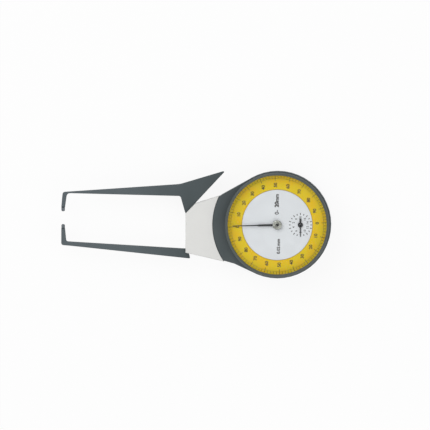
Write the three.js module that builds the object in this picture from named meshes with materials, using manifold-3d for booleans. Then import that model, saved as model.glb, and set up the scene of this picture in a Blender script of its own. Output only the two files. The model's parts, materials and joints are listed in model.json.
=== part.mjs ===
// Outside dial caliper gauge, lying on its back. Millimetres, +Z up.
// The origin is on the dial axis at the flat back of the case; the two arms reach along -X.
// The lower arm is fixed. Pressing the thumb lever turns the upper arm about the neck pivot,
// and a toothed sector on its tail drives the revolution counter and, through it, the needle.
import * as THREE from "three";
import { mergeVertices } from "three/addons/utils/BufferGeometryUtils.js";
import Module from "manifold-3d";

const wasm = await Module();
wasm.setup();

const DEGREE = Math.PI / 180;

// Gear train: sector to counter pinion, counter wheel to centre pinion, centre pinion to take-up wheel.
const SECTOR_MODULE = 0.3;
const SECTOR_FULL_TEETH = 390;
const SECTOR_PINION_TEETH = 14;
const WHEEL_TEETH = 80;
const CENTRE_PINION_TEETH = 8;
const TAKE_UP_TEETH = 40;
const COUNTER_X = 14.52;
const WHEEL_MODULE = (2 * COUNTER_X) / (WHEEL_TEETH + CENTRE_PINION_TEETH);
const TAKE_UP_X = (-WHEEL_MODULE * (TAKE_UP_TEETH + CENTRE_PINION_TEETH)) / 2;
const TOOTH_THINNING = 0.05;

// Plan of the instrument.
const SECTOR_CENTRES = (SECTOR_MODULE * (SECTOR_FULL_TEETH + SECTOR_PINION_TEETH)) / 2;
const PIVOT_X = COUNTER_X - SECTOR_CENTRES;
const CONTACT_X = -134.7;
const CONTACT_Y = 0.2;
const REACH = PIVOT_X - CONTACT_X;
const REST_GAP = 8;
const FULL_GAP = 20;
const OPENING_LEFT = (FULL_GAP - REST_GAP) / REACH;
const CASE_R = 33.6;
const LOBE_R = 40.7;
const FACE_R = 21.96;
const NEEDLE_TURN = 1.4 * DEGREE;

// Sides of a large round, a bore, a shaft, a screw and a small hole.
const ROUND_SIDES = 48;
const BORE_SIDES = 24;
const SHAFT_SIDES = 12;
const SCREW_SIDES = 8;
const HOLE_SIDES = 8;

// Heights above the back, from rear to front.
const REAR_COVER_T = 1.6;
const NECK_FLOOR_T = 1.4;
const TONGUE_BACK = 3;
const BRIDGE_BACK = 6.2;
const BRIDGE_FRONT = 7.2;
const TONGUE_FRONT = 8.3;
const ARM_BACK = 8.6;
const SECTOR_BACK = 8.8;
const SECTOR_FRONT = 10;
const LOWER_PLATE_BACK = 10.8;
const LOWER_PLATE_FRONT = 11.8;
const WHEEL_BACK = 12.2;
const WHEEL_FRONT = 12.9;
const ARM_FRONT = 13.4;
const NECK_COVER_BACK = 14;
const UPPER_PLATE_BACK = 15.6;
const NECK_COVER_FRONT = 15.6;
const CASE_TOP = 15.8;
const BEZEL_BACK = 16.1;
const UPPER_PLATE_FRONT = 16.6;
const COLLAR_TOP = 17.6;
const FACE_BACK = 18.2;
const SCALE_BACK = 18.3;
const FACE_FRONT = 19;
const SCALE_FRONT = 19.1;
const COUNTER_HAND_BACK = 19.3;
const NEEDLE_BACK = 20.5;
const CRYSTAL_BACK = 21.9;
const CRYSTAL_FRONT = 23.1;
const BEZEL_FRONT = 23.9;

// Radii inside the case, about the dial axis.
const CHAMBER_R = 24.5;
const MOVEMENT_BORE_R = 28.6;
const COLLAR_BORE_R = 28.3;
const COLLAR_R = 29.7;
const PLATE_R = 27.6;
const REAR_COVER_R = 30;
const BEZEL_BORE_R = 31.7;
const BEZEL_LIP_R = 31;
const BEZEL_R = 32.7;

// Arm pivot.
const PIN_R = 2;
const BUSH_R = 3;
const HUB_R = 7.5;
const FIT = 0.1;

// Materials.
function metal(name, color, roughness) {
  return new THREE.MeshStandardMaterial({ name, color, roughness, metalness: 0.9 });
}

function coating(name, color, roughness) {
  return new THREE.MeshStandardMaterial({ name, color, roughness, metalness: 0 });
}

const caseEnamel = coating("case_enamel", 0x4e5459, 0.55);
const armEnamel = coating("arm_enamel", 0x535b61, 0.5);
const neckPlastic = coating("neck_plastic", 0xdcddda, 0.5);
const scaleYellow = coating("scale_yellow", 0xdcbc28, 0.6);
const faceWhite = coating("face_white", 0xe4e7ea, 0.6);
const handBlack = coating("hand_black", 0x1c1d20, 0.45);
const steel = metal("steel", 0xb9bcc0, 0.3);
const brass = metal("brass", 0xc9a44c, 0.35);
const carbide = metal("carbide", 0x8f9399, 0.25);
const springSteel = metal("spring_steel", 0x7f858c, 0.35);
const clearPlastic = new THREE.MeshStandardMaterial({
  name: "crystal",
  color: 0xf4f8fa,
  roughness: 0.05,
  metalness: 0,
  transparent: true,
  opacity: 0.2,
});

// Solids: a closed geometry becomes a manifold for joining and cutting, and goes back.
function solid(geometry) {
  const bare = new THREE.BufferGeometry();
  const open = geometry.index ? geometry.toNonIndexed() : geometry;
  bare.setAttribute("position", open.getAttribute("position"));
  const merged = mergeVertices(bare, 1e-4);
  return new wasm.Manifold(
    new wasm.Mesh({
      numProp: 3,
      vertProperties: merged.attributes.position.array,
      triVerts: new Uint32Array(merged.index.array),
    }),
  );
}

function geometryOf(manifold) {
  const mesh = manifold.getMesh();
  const geometry = new THREE.BufferGeometry();
  geometry.setAttribute("position", new THREE.BufferAttribute(mesh.vertProperties, 3));
  geometry.setIndex(new THREE.BufferAttribute(mesh.triVerts, 1));
  geometry.computeVertexNormals();
  return geometry;
}

function join(first, ...others) {
  return others.reduce((made, other) => made.add(other), first);
}

function cut(first, ...others) {
  return others.reduce((made, other) => made.subtract(other), first);
}

// A cylinder standing on the XY plane between two heights.
function disc(radius, back, front, x = 0, y = 0, segments = SHAFT_SIDES) {
  const geometry = new THREE.CylinderGeometry(radius, radius, front - back, segments);
  geometry.rotateX(Math.PI / 2);
  geometry.translate(x, y, (back + front) / 2);
  return solid(geometry);
}

// A round cutter that runs past both ends of what it opens, and one through the whole instrument.
const OVER = 1;

function drill(radius, back, front, x = 0, y = 0, segments = HOLE_SIDES) {
  return disc(radius, back - OVER, front + OVER, x, y, segments);
}

function throughHole(radius, x = 0, y = 0, segments = HOLE_SIDES) {
  return drill(radius, 0, BEZEL_FRONT, x, y, segments);
}

function tube(inner, outer, back, front, x = 0, y = 0, segments = SHAFT_SIDES) {
  return cut(
    disc(outer, back, front, x, y, segments),
    drill(inner, back, front, x, y, segments),
  );
}

// A solid of revolution about +Z; the profile lists [radius, height] and closes on itself or the axis.
function turned(profile, segments = ROUND_SIDES) {
  const points = profile.map(([radius, height]) => new THREE.Vector2(radius, height));
  const geometry = new THREE.LatheGeometry(points, segments);
  geometry.rotateX(Math.PI / 2);
  const made = solid(geometry);
  if (made.volume() > 0) {
    return made;
  }
  const reversed = new THREE.LatheGeometry([...points].reverse(), segments);
  reversed.rotateX(Math.PI / 2);
  return solid(reversed);
}

// A flat plate of an outline between two heights, its edges broken by a small chamfer.
function plate(shape, back, front, chamfer = 0, curveSegments = 12) {
  const least = 1e-3;
  const drawn = shape.getPoints(curveSegments);
  const corners = drawn.filter(
    (point, i) => point.distanceTo(drawn[(i + 1) % drawn.length]) > least,
  );
  const geometry = new THREE.ExtrudeGeometry(new THREE.Shape(corners), {
    depth: front - back - 2 * chamfer,
    bevelEnabled: chamfer > 0,
    bevelThickness: chamfer,
    bevelSize: chamfer,
    bevelOffset: -chamfer,
    bevelSegments: 1,
  });
  geometry.translate(0, 0, back + chamfer);
  return solid(geometry);
}

function outline(points) {
  return new THREE.Shape(points.map(([x, y]) => new THREE.Vector2(x, y)));
}

function box(x0, x1, y0, y1, z0, z1) {
  const geometry = new THREE.BoxGeometry(x1 - x0, y1 - y0, z1 - z0);
  geometry.translate((x0 + x1) / 2, (y0 + y1) / 2, (z0 + z1) / 2);
  return solid(geometry);
}

function polar(radius, degrees) {
  return [radius * Math.cos(degrees * DEGREE), radius * Math.sin(degrees * DEGREE)];
}

function piece(parent, name, made, material) {
  const mesh = new THREE.Mesh(geometryOf(made), material);
  mesh.name = name;
  parent.add(mesh);
  return mesh;
}

// Each moving body is a group whose origin lies on its own axis.
const instrument = new THREE.Group();
const caseGroup = new THREE.Group();
const armGroup = new THREE.Group();
const counterGroup = new THREE.Group();
const needleGroup = new THREE.Group();
const takeUpGroup = new THREE.Group();
const bezelGroup = new THREE.Group();
armGroup.position.set(PIVOT_X, 0, 0);
counterGroup.position.set(COUNTER_X, 0, 0);
takeUpGroup.position.set(TAKE_UP_X, 0, 0);
instrument.add(caseGroup, armGroup, counterGroup, needleGroup, takeUpGroup, bezelGroup);

// Teeth: involute flanks down to the base circle, then radial to the root.
const PRESSURE_ANGLE = 25 * DEGREE;
const ADDENDUM = 0.85;
const DEDENDUM = 1.15;

function involute(angle) {
  return Math.tan(angle) - angle;
}

function toothHalfAngle(radius, pitchR) {
  const baseR = pitchR * Math.cos(PRESSURE_ANGLE);
  const flank = radius > baseR ? Math.acos(baseR / radius) : 0;
  return involute(PRESSURE_ANGLE) - involute(flank);
}

// The points of one tooth centred on an angle, from its right root over the tip to its left root.
function toothPoints(teeth, module, centre, flankSteps) {
  const pitchR = (module * teeth) / 2;
  const rootR = pitchR - DEDENDUM * module;
  const tipR = pitchR + ADDENDUM * module;
  const halfAtPitch = Math.PI / (2 * teeth) - TOOTH_THINNING / (2 * pitchR);
  const side = [];
  for (let step = 0; step <= flankSteps; step += 1) {
    const radius = rootR + ((tipR - rootR) * step) / flankSteps;
    side.push([radius, halfAtPitch + toothHalfAngle(radius, pitchR)]);
  }
  const right = side.map(([radius, half]) => [radius, centre - half]);
  const left = side.map(([radius, half]) => [radius, centre + half]).reverse();
  return [...right, ...left].map(([radius, angle]) => [
    radius * Math.cos(angle),
    radius * Math.sin(angle),
  ]);
}

// A whole gear between two heights, one tooth centred on the given angle.
function gear(teeth, module, firstTooth, back, front, boreR, flankSteps) {
  const points = [];
  for (let tooth = 0; tooth < teeth; tooth += 1) {
    const centre = firstTooth + (2 * Math.PI * tooth) / teeth;
    points.push(...toothPoints(teeth, module, centre, flankSteps));
  }
  const blank = plate(outline(points), back, front);
  return cut(blank, drill(boreR, back, front, 0, 0, SHAFT_SIDES));
}

// Case: a round drum, and a lobe toward the neck with a rounded upper corner and a lower knee.
const LOBE_UPPER = [-36.4, 18.2];
const LOBE_LOWER = [-33.95, -22.45];
const LOBE_KNEE = [-27, -24.4];
const LOBE_CORNER_TURN = 2.2;
const LOBE_CORNER_START = [-33.85, 19.55];
const LOBE_SINK = 0.05;
const CASE_EDGE = 0.5;
const CASE_FOOT = 1.2;
const COLLAR_LIP = 0.3;
const COLLAR_LIP_T = 0.35;

// Where a line from an outside point touches the case circle; side is 1 for the upper touch.
function tangentPoint([x, y], radius, side) {
  const distance = Math.hypot(x, y);
  const toPoint = Math.atan2(y, x);
  const spread = Math.acos(radius / distance);
  const angle = toPoint - side * spread;
  return [radius * Math.cos(angle), radius * Math.sin(angle)];
}

function lobeShape() {
  const shape = new THREE.Shape();
  const upper = Math.atan2(LOBE_UPPER[1], LOBE_UPPER[0]) / DEGREE;
  const lower = Math.atan2(LOBE_LOWER[1], LOBE_LOWER[0]) / DEGREE + 360;
  const cornerEnd = upper + LOBE_CORNER_TURN;
  shape.moveTo(0, 0);
  shape.lineTo(...tangentPoint(LOBE_UPPER, CASE_R - LOBE_SINK, 1));
  shape.lineTo(...LOBE_CORNER_START);
  shape.quadraticCurveTo(...LOBE_UPPER, ...polar(LOBE_R, cornerEnd));
  shape.absarc(0, 0, LOBE_R, cornerEnd * DEGREE, lower * DEGREE, false);
  shape.lineTo(...LOBE_KNEE);
  shape.lineTo(...tangentPoint(LOBE_KNEE, CASE_R - LOBE_SINK, -1));
  return shape;
}

function insetPolygon(points, inset) {
  const count = points.length;
  const edges = points.map((from, i) => {
    const to = points[(i + 1) % count];
    const length = Math.hypot(to[0] - from[0], to[1] - from[1]);
    const normal = [(to[1] - from[1]) / length, (from[0] - to[0]) / length];
    return { normal, reach: normal[0] * from[0] + normal[1] * from[1] - inset };
  });
  return edges.map((edge, i) => {
    const before = edges[(i + count - 1) % count];
    const turn = before.normal[0] * edge.normal[1] - before.normal[1] * edge.normal[0];
    return [
      (before.reach * edge.normal[1] - edge.reach * before.normal[1]) / turn,
      (before.normal[0] * edge.reach - edge.normal[0] * before.reach) / turn,
    ];
  });
}

// The neck in plan, counter-clockwise, running on under the case lobe.
const NECK_END_X = -57.6;
const NECK_POINTS = [
  [-30, -23.9],
  [-30, 20.1],
  [-51.4, 13.4],
  [NECK_END_X, 7],
  [NECK_END_X, -17.6],
];

function neckPrism(inset, back, front, chamfer = 0) {
  return plate(outline(insetPolygon(NECK_POINTS, inset)), back, front, chamfer);
}

// Screws: the radius and heights of the head, the radius of the shank and the height of its end.
const REAR_SCREW = { headR: 1.45, headBack: 0.15, headFront: 1, shankR: 0.65, end: 5 };
const NECK_SCREW = { headR: 1.6, headBack: 0.2, headFront: NECK_FLOOR_T, shankR: 0.8, end: 12 };
const ARM_SCREW = { headR: 1.9, headBack: 3.3, headFront: 5.2, shankR: 1, end: 12.4 };
const SECTOR_SCREW = { headR: 1.25, headBack: SECTOR_BACK, headFront: 9.4, shankR: 0.65, end: 12.4 };
const MOVEMENT_SCREW = {
  headR: 1.2,
  headBack: -LOWER_PLATE_FRONT - 0.8,
  headFront: -LOWER_PLATE_FRONT,
  shankR: 0.5,
  end: -7.6,
};
const THREAD_FIT = 0.1;
const HEAD_FIT = 0.15;
const HEAD_EDGE = 0.15;
const SLOT_HALF = 0.18;
const SLOT_SHARE = 0.35;

// A cheese head below its shank, with a straight driving slot.
function screw({ headR, headBack, headFront, shankR, end }) {
  const body = turned(
    [
      [0, headBack],
      [headR - HEAD_EDGE, headBack],
      [headR, headBack + HEAD_EDGE],
      [headR, headFront],
      [shankR, headFront],
      [shankR, end],
      [0, end],
    ],
    SCREW_SIDES,
  );
  const slotFront = headBack + SLOT_SHARE * (headFront - headBack);
  return cut(body, box(-headR, headR, -SLOT_HALF, SLOT_HALF, headBack - OVER, slotFront));
}

function threadHole({ shankR }, back, front, place) {
  return disc(shankR + THREAD_FIT, back, front, ...place, HOLE_SIDES);
}

function headHole({ headR, headFront }, place) {
  return disc(headR + HEAD_FIT, -OVER, headFront, ...place, HOLE_SIDES);
}

function placed(made, x, y) {
  return made.translate([x, y, 0]);
}

const NECK_SCREW_PLACES = [
  [-41.4, 12.6],
  [-41.5, -12.4],
  [-54.2, -6],
];
const ARM_SCREW_PLACES = [
  [-53, -13.2],
  [-47.4, -13.2],
];
const DOWEL_PLACES = [
  [-50.2, -11.1],
  [-50.2, -15.3],
];
const REAR_SCREW_PLACES = [45, 135, 225, 315].map((degrees) => polar(27.4, degrees));
const MOVEMENT_SCREW_PLACES = [90, 210, 330].map((degrees) => polar(26.2, degrees));
const DOWEL_R = 0.75;
const DOWEL_FIT = 0.05;
const DOWEL_BACK = 5.4;
const PRESS = 0.02;
const ARM_HOLE_FRONT = 12.9;

// The arm's travel ends with the inner edge of its plate against the stop pin.
const STOP_R = 1;
const PLATE_SHOULDER = [-51.7 - PIVOT_X, 13.4];
const HUB_TOUCH = polar(HUB_R, 32);

function stopPinPlace() {
  const middle = [
    (PLATE_SHOULDER[0] + HUB_TOUCH[0]) / 2,
    (PLATE_SHOULDER[1] + HUB_TOUCH[1]) / 2,
  ];
  const along = Math.atan2(
    HUB_TOUCH[1] - PLATE_SHOULDER[1],
    HUB_TOUCH[0] - PLATE_SHOULDER[0],
  );
  const outward = along + Math.PI / 2 - OPENING_LEFT;
  const clear = STOP_R + FIT;
  const cos = Math.cos(OPENING_LEFT);
  const sin = Math.sin(OPENING_LEFT);
  return [
    PIVOT_X + middle[0] * cos + middle[1] * sin + clear * Math.cos(outward),
    middle[1] * cos - middle[0] * sin + clear * Math.sin(outward),
  ];
}

const STOP_PLACE = stopPinPlace();

// The tongue inside the neck, its raised seat for the fixed arm and the way of the sector.
const TONGUE_INSET = 1.45;
const ARM_SEAT = { left: -55.6, right: -44.7, low: -16.6, high: -9.7 };
const TUNNEL = { left: -42, right: -20, half: 8.2 };
const HUB_POCKET_R = HUB_R + 0.5;
const THREAD_END = 0.5;

function mainHousing() {
  const lipBack = COLLAR_TOP - COLLAR_LIP_T;
  const drum = turned([
    [0, 0],
    [CASE_R - CASE_FOOT, 0],
    [CASE_R, CASE_FOOT],
    [CASE_R, CASE_TOP - CASE_EDGE],
    [CASE_R - CASE_EDGE, CASE_TOP],
    [COLLAR_R - COLLAR_LIP, CASE_TOP],
    [COLLAR_R - COLLAR_LIP, lipBack],
    [COLLAR_R, lipBack],
    [COLLAR_R, COLLAR_TOP],
    [0, COLLAR_TOP],
  ]);
  const lobe = plate(lobeShape(), 0, CASE_TOP, CASE_EDGE, 10);
  const tongue = neckPrism(TONGUE_INSET, TONGUE_BACK, TONGUE_FRONT);
  const seat = box(
    ARM_SEAT.left,
    ARM_SEAT.right,
    ARM_SEAT.low,
    ARM_SEAT.high,
    TONGUE_FRONT - OVER,
    ARM_BACK,
  );
  const { left, right, half } = TUNNEL;
  const tunnel = box(left, right, -half, half, TONGUE_FRONT, LOWER_PLATE_BACK - 2 * FIT);
  const chambers = [
    disc(REAR_COVER_R + 2 * FIT, -OVER, REAR_COVER_T, 0, 0, ROUND_SIDES),
    disc(CHAMBER_R, 0, LOWER_PLATE_BACK, 0, 0, BORE_SIDES),
    disc(MOVEMENT_BORE_R, LOWER_PLATE_BACK, UPPER_PLATE_BACK, 0, 0, BORE_SIDES),
    drill(COLLAR_BORE_R, UPPER_PLATE_BACK, COLLAR_TOP, 0, 0, ROUND_SIDES),
    disc(HUB_POCKET_R, TONGUE_FRONT, NECK_COVER_BACK, PIVOT_X, 0, BORE_SIDES),
  ];
  const inTongue = (radius, place, segments) =>
    drill(radius, TONGUE_BACK, ARM_BACK, ...place, segments);
  const bores = [
    inTongue(PIN_R + PRESS, [PIVOT_X, 0], SHAFT_SIDES),
    inTongue(STOP_R + PRESS, STOP_PLACE, SHAFT_SIDES),
    ...NECK_SCREW_PLACES.map((place) => inTongue(NECK_SCREW.shankR + THREAD_FIT, place)),
    ...DOWEL_PLACES.map((place) => inTongue(DOWEL_R + DOWEL_FIT, place)),
    ...ARM_SCREW_PLACES.map((place) => inTongue(ARM_SCREW.shankR + THREAD_FIT, place)),
    ...ARM_SCREW_PLACES.map((place) => headHole(ARM_SCREW, place)),
    ...REAR_SCREW_PLACES.map((place) => threadHole(REAR_SCREW, 0, REAR_SCREW.end + THREAD_END, place)),
    ...MOVEMENT_SCREW_PLACES.map((place) =>
      threadHole(MOVEMENT_SCREW, -MOVEMENT_SCREW.end - THREAD_END, LOWER_PLATE_BACK + OVER, place),
    ),
  ];
  return cut(join(drum, lobe, tongue, seat), tunnel, ...chambers, ...bores);
}

const REAR_COVER_EDGE = 0.3;

function rearCover() {
  const rim = turned([
    [0, 0],
    [REAR_COVER_R - REAR_COVER_EDGE, 0],
    [REAR_COVER_R, REAR_COVER_EDGE],
    [REAR_COVER_R, REAR_COVER_T],
    [0, REAR_COVER_T],
  ]);
  const heads = REAR_SCREW_PLACES.map((place) => headHole(REAR_SCREW, place));
  const shanks = REAR_SCREW_PLACES.map((place) =>
    throughHole(REAR_SCREW.shankR + HEAD_FIT, ...place),
  );
  return cut(rim, ...heads, ...shanks);
}

piece(caseGroup, "main_housing", mainHousing(), caseEnamel);
piece(caseGroup, "rear_cover", rearCover(), caseEnamel);
REAR_SCREW_PLACES.forEach((place, i) => {
  piece(caseGroup, `rear_cover_screw_${i + 1}`, placed(screw(REAR_SCREW), ...place), steel);
});

// Neck shells: a rear tray round the tongue and a front cover carried on three posts.
const NECK_WALL_T = 1.2;
const NECK_EDGE = 0.4;
const NECK_ROOF_OVERLAP = 0.8;
const NECK_TRAY_END = { left: -35, right: -20, half: 40 };
const FIXED_ARM_DOOR = { left: -60, right: -53.8, low: -30, high: -14 };
const MOVABLE_ARM_DOOR = { left: -60, right: -46.2, low: 2, high: 30 };
const POST_R = 1.8;
const BOSS_R = 2.6;
const BOSS_BACK = 0.5;
const POST_HOLE = { back: 8, front: 12.6 };

function lobeCut() {
  return drill(LOBE_R + FIT, 0, NECK_COVER_FRONT, 0, 0, 2 * ROUND_SIDES);
}

function door({ left, right, low, high }) {
  return box(left, right, low, high, ARM_BACK - OVER, NECK_COVER_BACK);
}

function neckRearCover() {
  const front = TONGUE_FRONT + OVER;
  const { left, right, half } = NECK_TRAY_END;
  const trayEnd = box(left, right, -half, half, NECK_FLOOR_T, front);
  const shell = cut(
    neckPrism(0, 0, TONGUE_FRONT, NECK_EDGE),
    neckPrism(NECK_WALL_T, NECK_FLOOR_T, front),
    trayEnd,
  );
  const bosses = NECK_SCREW_PLACES.map((place) => disc(BOSS_R, BOSS_BACK, TONGUE_BACK, ...place));
  const heads = NECK_SCREW_PLACES.map((place) => headHole(NECK_SCREW, place));
  const shanks = NECK_SCREW_PLACES.map((place) =>
    threadHole(NECK_SCREW, 0, TONGUE_BACK + OVER, place),
  );
  return cut(join(shell, ...bosses), lobeCut(), ...heads, ...shanks);
}

function neckFrontCover() {
  const roof = neckPrism(0, NECK_COVER_BACK, NECK_COVER_FRONT, NECK_EDGE);
  const walls = cut(
    neckPrism(0, ARM_BACK, NECK_COVER_BACK + NECK_ROOF_OVERLAP),
    neckPrism(NECK_WALL_T, ARM_BACK - OVER, NECK_COVER_BACK + OVER),
    door(FIXED_ARM_DOOR),
    door(MOVABLE_ARM_DOOR),
  );
  const posts = NECK_SCREW_PLACES.map((place) =>
    disc(POST_R, TONGUE_FRONT, NECK_COVER_BACK + NECK_EDGE, ...place),
  );
  const holes = NECK_SCREW_PLACES.map((place) =>
    threadHole(NECK_SCREW, POST_HOLE.back, POST_HOLE.front, place),
  );
  return cut(join(roof, walls, ...posts), lobeCut(), ...holes);
}

piece(caseGroup, "neck_rear_cover", neckRearCover(), neckPlastic);
piece(caseGroup, "neck_front_cover", neckFrontCover(), neckPlastic);
NECK_SCREW_PLACES.forEach((place, i) => {
  piece(caseGroup, `neck_screw_${i + 1}`, placed(screw(NECK_SCREW), ...place), steel);
});

// Arms: straight tapering blades that end in a turned-in jaw, thinner toward the contacts.
const ARM_EDGE = 0.3;
const JAW_HALF_T = 1.2;
const JAW_X = -129;
const SHOULDER_X = -75;
const SEAT_HALF = 1.15;
const ARM_MID = (ARM_BACK + ARM_FRONT) / 2;
const TIP_R = 1.1;
const TIP_DOME = 0.8;
const TIP_LENGTH = 2.4;
const TIP_STEPS = 4;

// The side view that thins a blade: full thickness to the shoulder, then a taper to the jaw.
function thinning(pivotX) {
  const reach = 100;
  const jawX = JAW_X - pivotX;
  const shoulderX = SHOULDER_X - pivotX;
  const shape = outline([
    [jawX - reach, ARM_MID - JAW_HALF_T],
    [jawX, ARM_MID - JAW_HALF_T],
    [shoulderX, ARM_BACK],
    [reach, ARM_BACK],
    [reach, ARM_FRONT],
    [shoulderX, ARM_FRONT],
    [jawX, ARM_MID + JAW_HALF_T],
    [jawX - reach, ARM_MID + JAW_HALF_T],
  ]);
  const geometry = new THREE.ExtrudeGeometry(shape, { depth: reach, bevelEnabled: false });
  geometry.rotateX(Math.PI / 2);
  geometry.translate(0, reach / 2, 0);
  return solid(geometry);
}

const FIXED_SEAT_Y = CONTACT_Y - TIP_LENGTH;

function fixedArmShape() {
  const shape = new THREE.Shape();
  shape.moveTo(CONTACT_X - SEAT_HALF, FIXED_SEAT_Y);
  shape.lineTo(-135.9, -11.6);
  shape.quadraticCurveTo(-135.8, -12.9, -134.4, -13.0);
  shape.lineTo(-130.4, -13.4);
  shape.lineTo(-54.9, -21.3);
  shape.lineTo(-55.9, -16.9);
  shape.lineTo(-44.7, -16.9);
  shape.lineTo(-44.7, -9.6);
  shape.lineTo(-55.9, -9.6);
  shape.lineTo(-55.9, -15.15);
  shape.lineTo(-61.1, -14.9);
  shape.lineTo(-131.6, -10.65);
  shape.quadraticCurveTo(-132.7, -10.55, -132.85, -9.4);
  shape.lineTo(CONTACT_X + SEAT_HALF, FIXED_SEAT_Y);
  return shape;
}

function fixedArm() {
  const blade = plate(fixedArmShape(), ARM_BACK, ARM_FRONT, ARM_EDGE, 6);
  const threads = ARM_SCREW_PLACES.map((place) =>
    threadHole(ARM_SCREW, TONGUE_FRONT, ARM_HOLE_FRONT, place),
  );
  const dowels = DOWEL_PLACES.map((place) =>
    disc(DOWEL_R + DOWEL_FIT, TONGUE_FRONT, ARM_HOLE_FRONT, ...place, HOLE_SIDES),
  );
  return cut(blade.intersect(thinning(0)), ...threads, ...dowels);
}

// A hard contact with a blunt round end, its seat at the origin and its end toward +Y.
function contactTip() {
  const straight = TIP_LENGTH - TIP_DOME;
  const profile = [
    [0, 0],
    [TIP_R, 0],
  ];
  for (let step = 0; step < TIP_STEPS; step += 1) {
    const angle = (90 * DEGREE * step) / TIP_STEPS;
    profile.push([TIP_R * Math.cos(angle), straight + TIP_DOME * Math.sin(angle)]);
  }
  profile.push([0, TIP_LENGTH]);
  return turned(profile, SHAFT_SIDES).rotate([-90, 0, 0]).translate([0, 0, ARM_MID]);
}

piece(caseGroup, "fixed_arm", fixedArm(), armEnamel);
const fixedTip = contactTip().translate([CONTACT_X, FIXED_SEAT_Y, 0]);
piece(caseGroup, "fixed_contact_tip", fixedTip, carbide);
ARM_SCREW_PLACES.forEach((place, i) => {
  piece(caseGroup, `fixed_arm_screw_${i + 1}`, placed(screw(ARM_SCREW), ...place), steel);
});
DOWEL_PLACES.forEach((place, i) => {
  const dowel = disc(DOWEL_R, DOWEL_BACK, ARM_SCREW.end, ...place, HOLE_SIDES);
  piece(caseGroup, `fixed_arm_dowel_${i + 1}`, dowel, steel);
});

// Pivot of the movable arm: a headed pin in the tongue, a washer, and a clip in the pin's groove.
const PIN_HEAD_R = 3.4;
const PIN_HEAD_T = 0.9;
const PIN_END = 13.9;
const GROOVE = { back: 13.5, front: 13.75, depth: 0.4 };
const CLIP_R = 3.6;
const CLIP_GAP_HALF = 1;
const WASHER_R = 3.9;
const STOP_PIN = { back: 5.1, front: 13.2 };

function pivotPin() {
  return turned(
    [
      [0, TONGUE_BACK - PIN_HEAD_T],
      [PIN_HEAD_R, TONGUE_BACK - PIN_HEAD_T],
      [PIN_HEAD_R, TONGUE_BACK],
      [PIN_R, TONGUE_BACK],
      [PIN_R, GROOVE.back],
      [PIN_R - GROOVE.depth, GROOVE.back],
      [PIN_R - GROOVE.depth, GROOVE.front],
      [PIN_R, GROOVE.front],
      [PIN_R, PIN_END],
      [0, PIN_END],
    ],
    SHAFT_SIDES,
  ).translate([PIVOT_X, 0, 0]);
}

function retainingClip() {
  const inner = PIN_R - GROOVE.depth + PRESS;
  const ring = tube(inner, CLIP_R, GROOVE.back, GROOVE.front, PIVOT_X, 0);
  const gap = box(
    PIVOT_X,
    PIVOT_X + CLIP_R + OVER,
    -CLIP_GAP_HALF,
    CLIP_GAP_HALF,
    GROOVE.back - OVER,
    GROOVE.front + OVER,
  );
  return cut(ring, gap);
}

piece(caseGroup, "pivot_pin", pivotPin(), steel);
const washer = tube(PIN_R + FIT, WASHER_R, TONGUE_FRONT, ARM_BACK - FIT / 2, PIVOT_X, 0);
piece(caseGroup, "pivot_washer", washer, brass);
piece(caseGroup, "pivot_retaining_clip", retainingClip(), springSteel);
const stopPin = disc(STOP_R, STOP_PIN.back, STOP_PIN.front, ...STOP_PLACE);
piece(caseGroup, "stop_pin", stopPin, steel);

// Movable arm, drawn about its pivot: blade and jaw, thumb lever, and the plate down to the hub.
const MOVABLE_SEAT_Y = CONTACT_Y + REST_GAP + TIP_LENGTH;
const HUB_SIDES = 36;
const HUB_ANGLE = 190;

function fromPivot(x, y) {
  return [x - PIVOT_X, y];
}

function movableArmShape() {
  const shape = new THREE.Shape();
  shape.moveTo(...fromPivot(CONTACT_X - SEAT_HALF, MOVABLE_SEAT_Y));
  shape.lineTo(...fromPivot(CONTACT_X + SEAT_HALF, MOVABLE_SEAT_Y));
  shape.lineTo(...fromPivot(-132.55, 17));
  shape.quadraticCurveTo(...fromPivot(-132.1, 19.5), ...fromPivot(-130.4, 19.6));
  shape.lineTo(...fromPivot(-60.9, 17.9));
  shape.lineTo(...fromPivot(-57.8, 7));
  shape.lineTo(...fromPivot(-54.6, 2));
  shape.lineTo(...polar(HUB_R - PRESS, HUB_ANGLE));
  shape.lineTo(0, -4);
  shape.lineTo(...HUB_TOUCH);
  shape.lineTo(...PLATE_SHOULDER);
  shape.lineTo(...fromPivot(-33.55, 32.75));
  shape.lineTo(...fromPivot(-34.2, 33.35));
  shape.lineTo(...fromPivot(-60.7, 25.6));
  shape.quadraticCurveTo(...fromPivot(-61.6, 25.35), ...fromPivot(-62.6, 25.3));
  shape.lineTo(...fromPivot(-133.2, 20.5));
  shape.quadraticCurveTo(...fromPivot(-134.5, 20.4), ...fromPivot(-134.8, 19.2));
  shape.lineTo(...fromPivot(-135.3, 16.4));
  return shape;
}

const SECTOR_SCREW_PLACES = [polar(5.2, 120), polar(5.2, 300)];
const SECTOR_WAY = { length: 20, half: 9 };
const SECTOR_THREAD_FRONT = 12.6;
const REBATE_FIT = 0.3;
const BUSH_FIT = 0.03;

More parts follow.
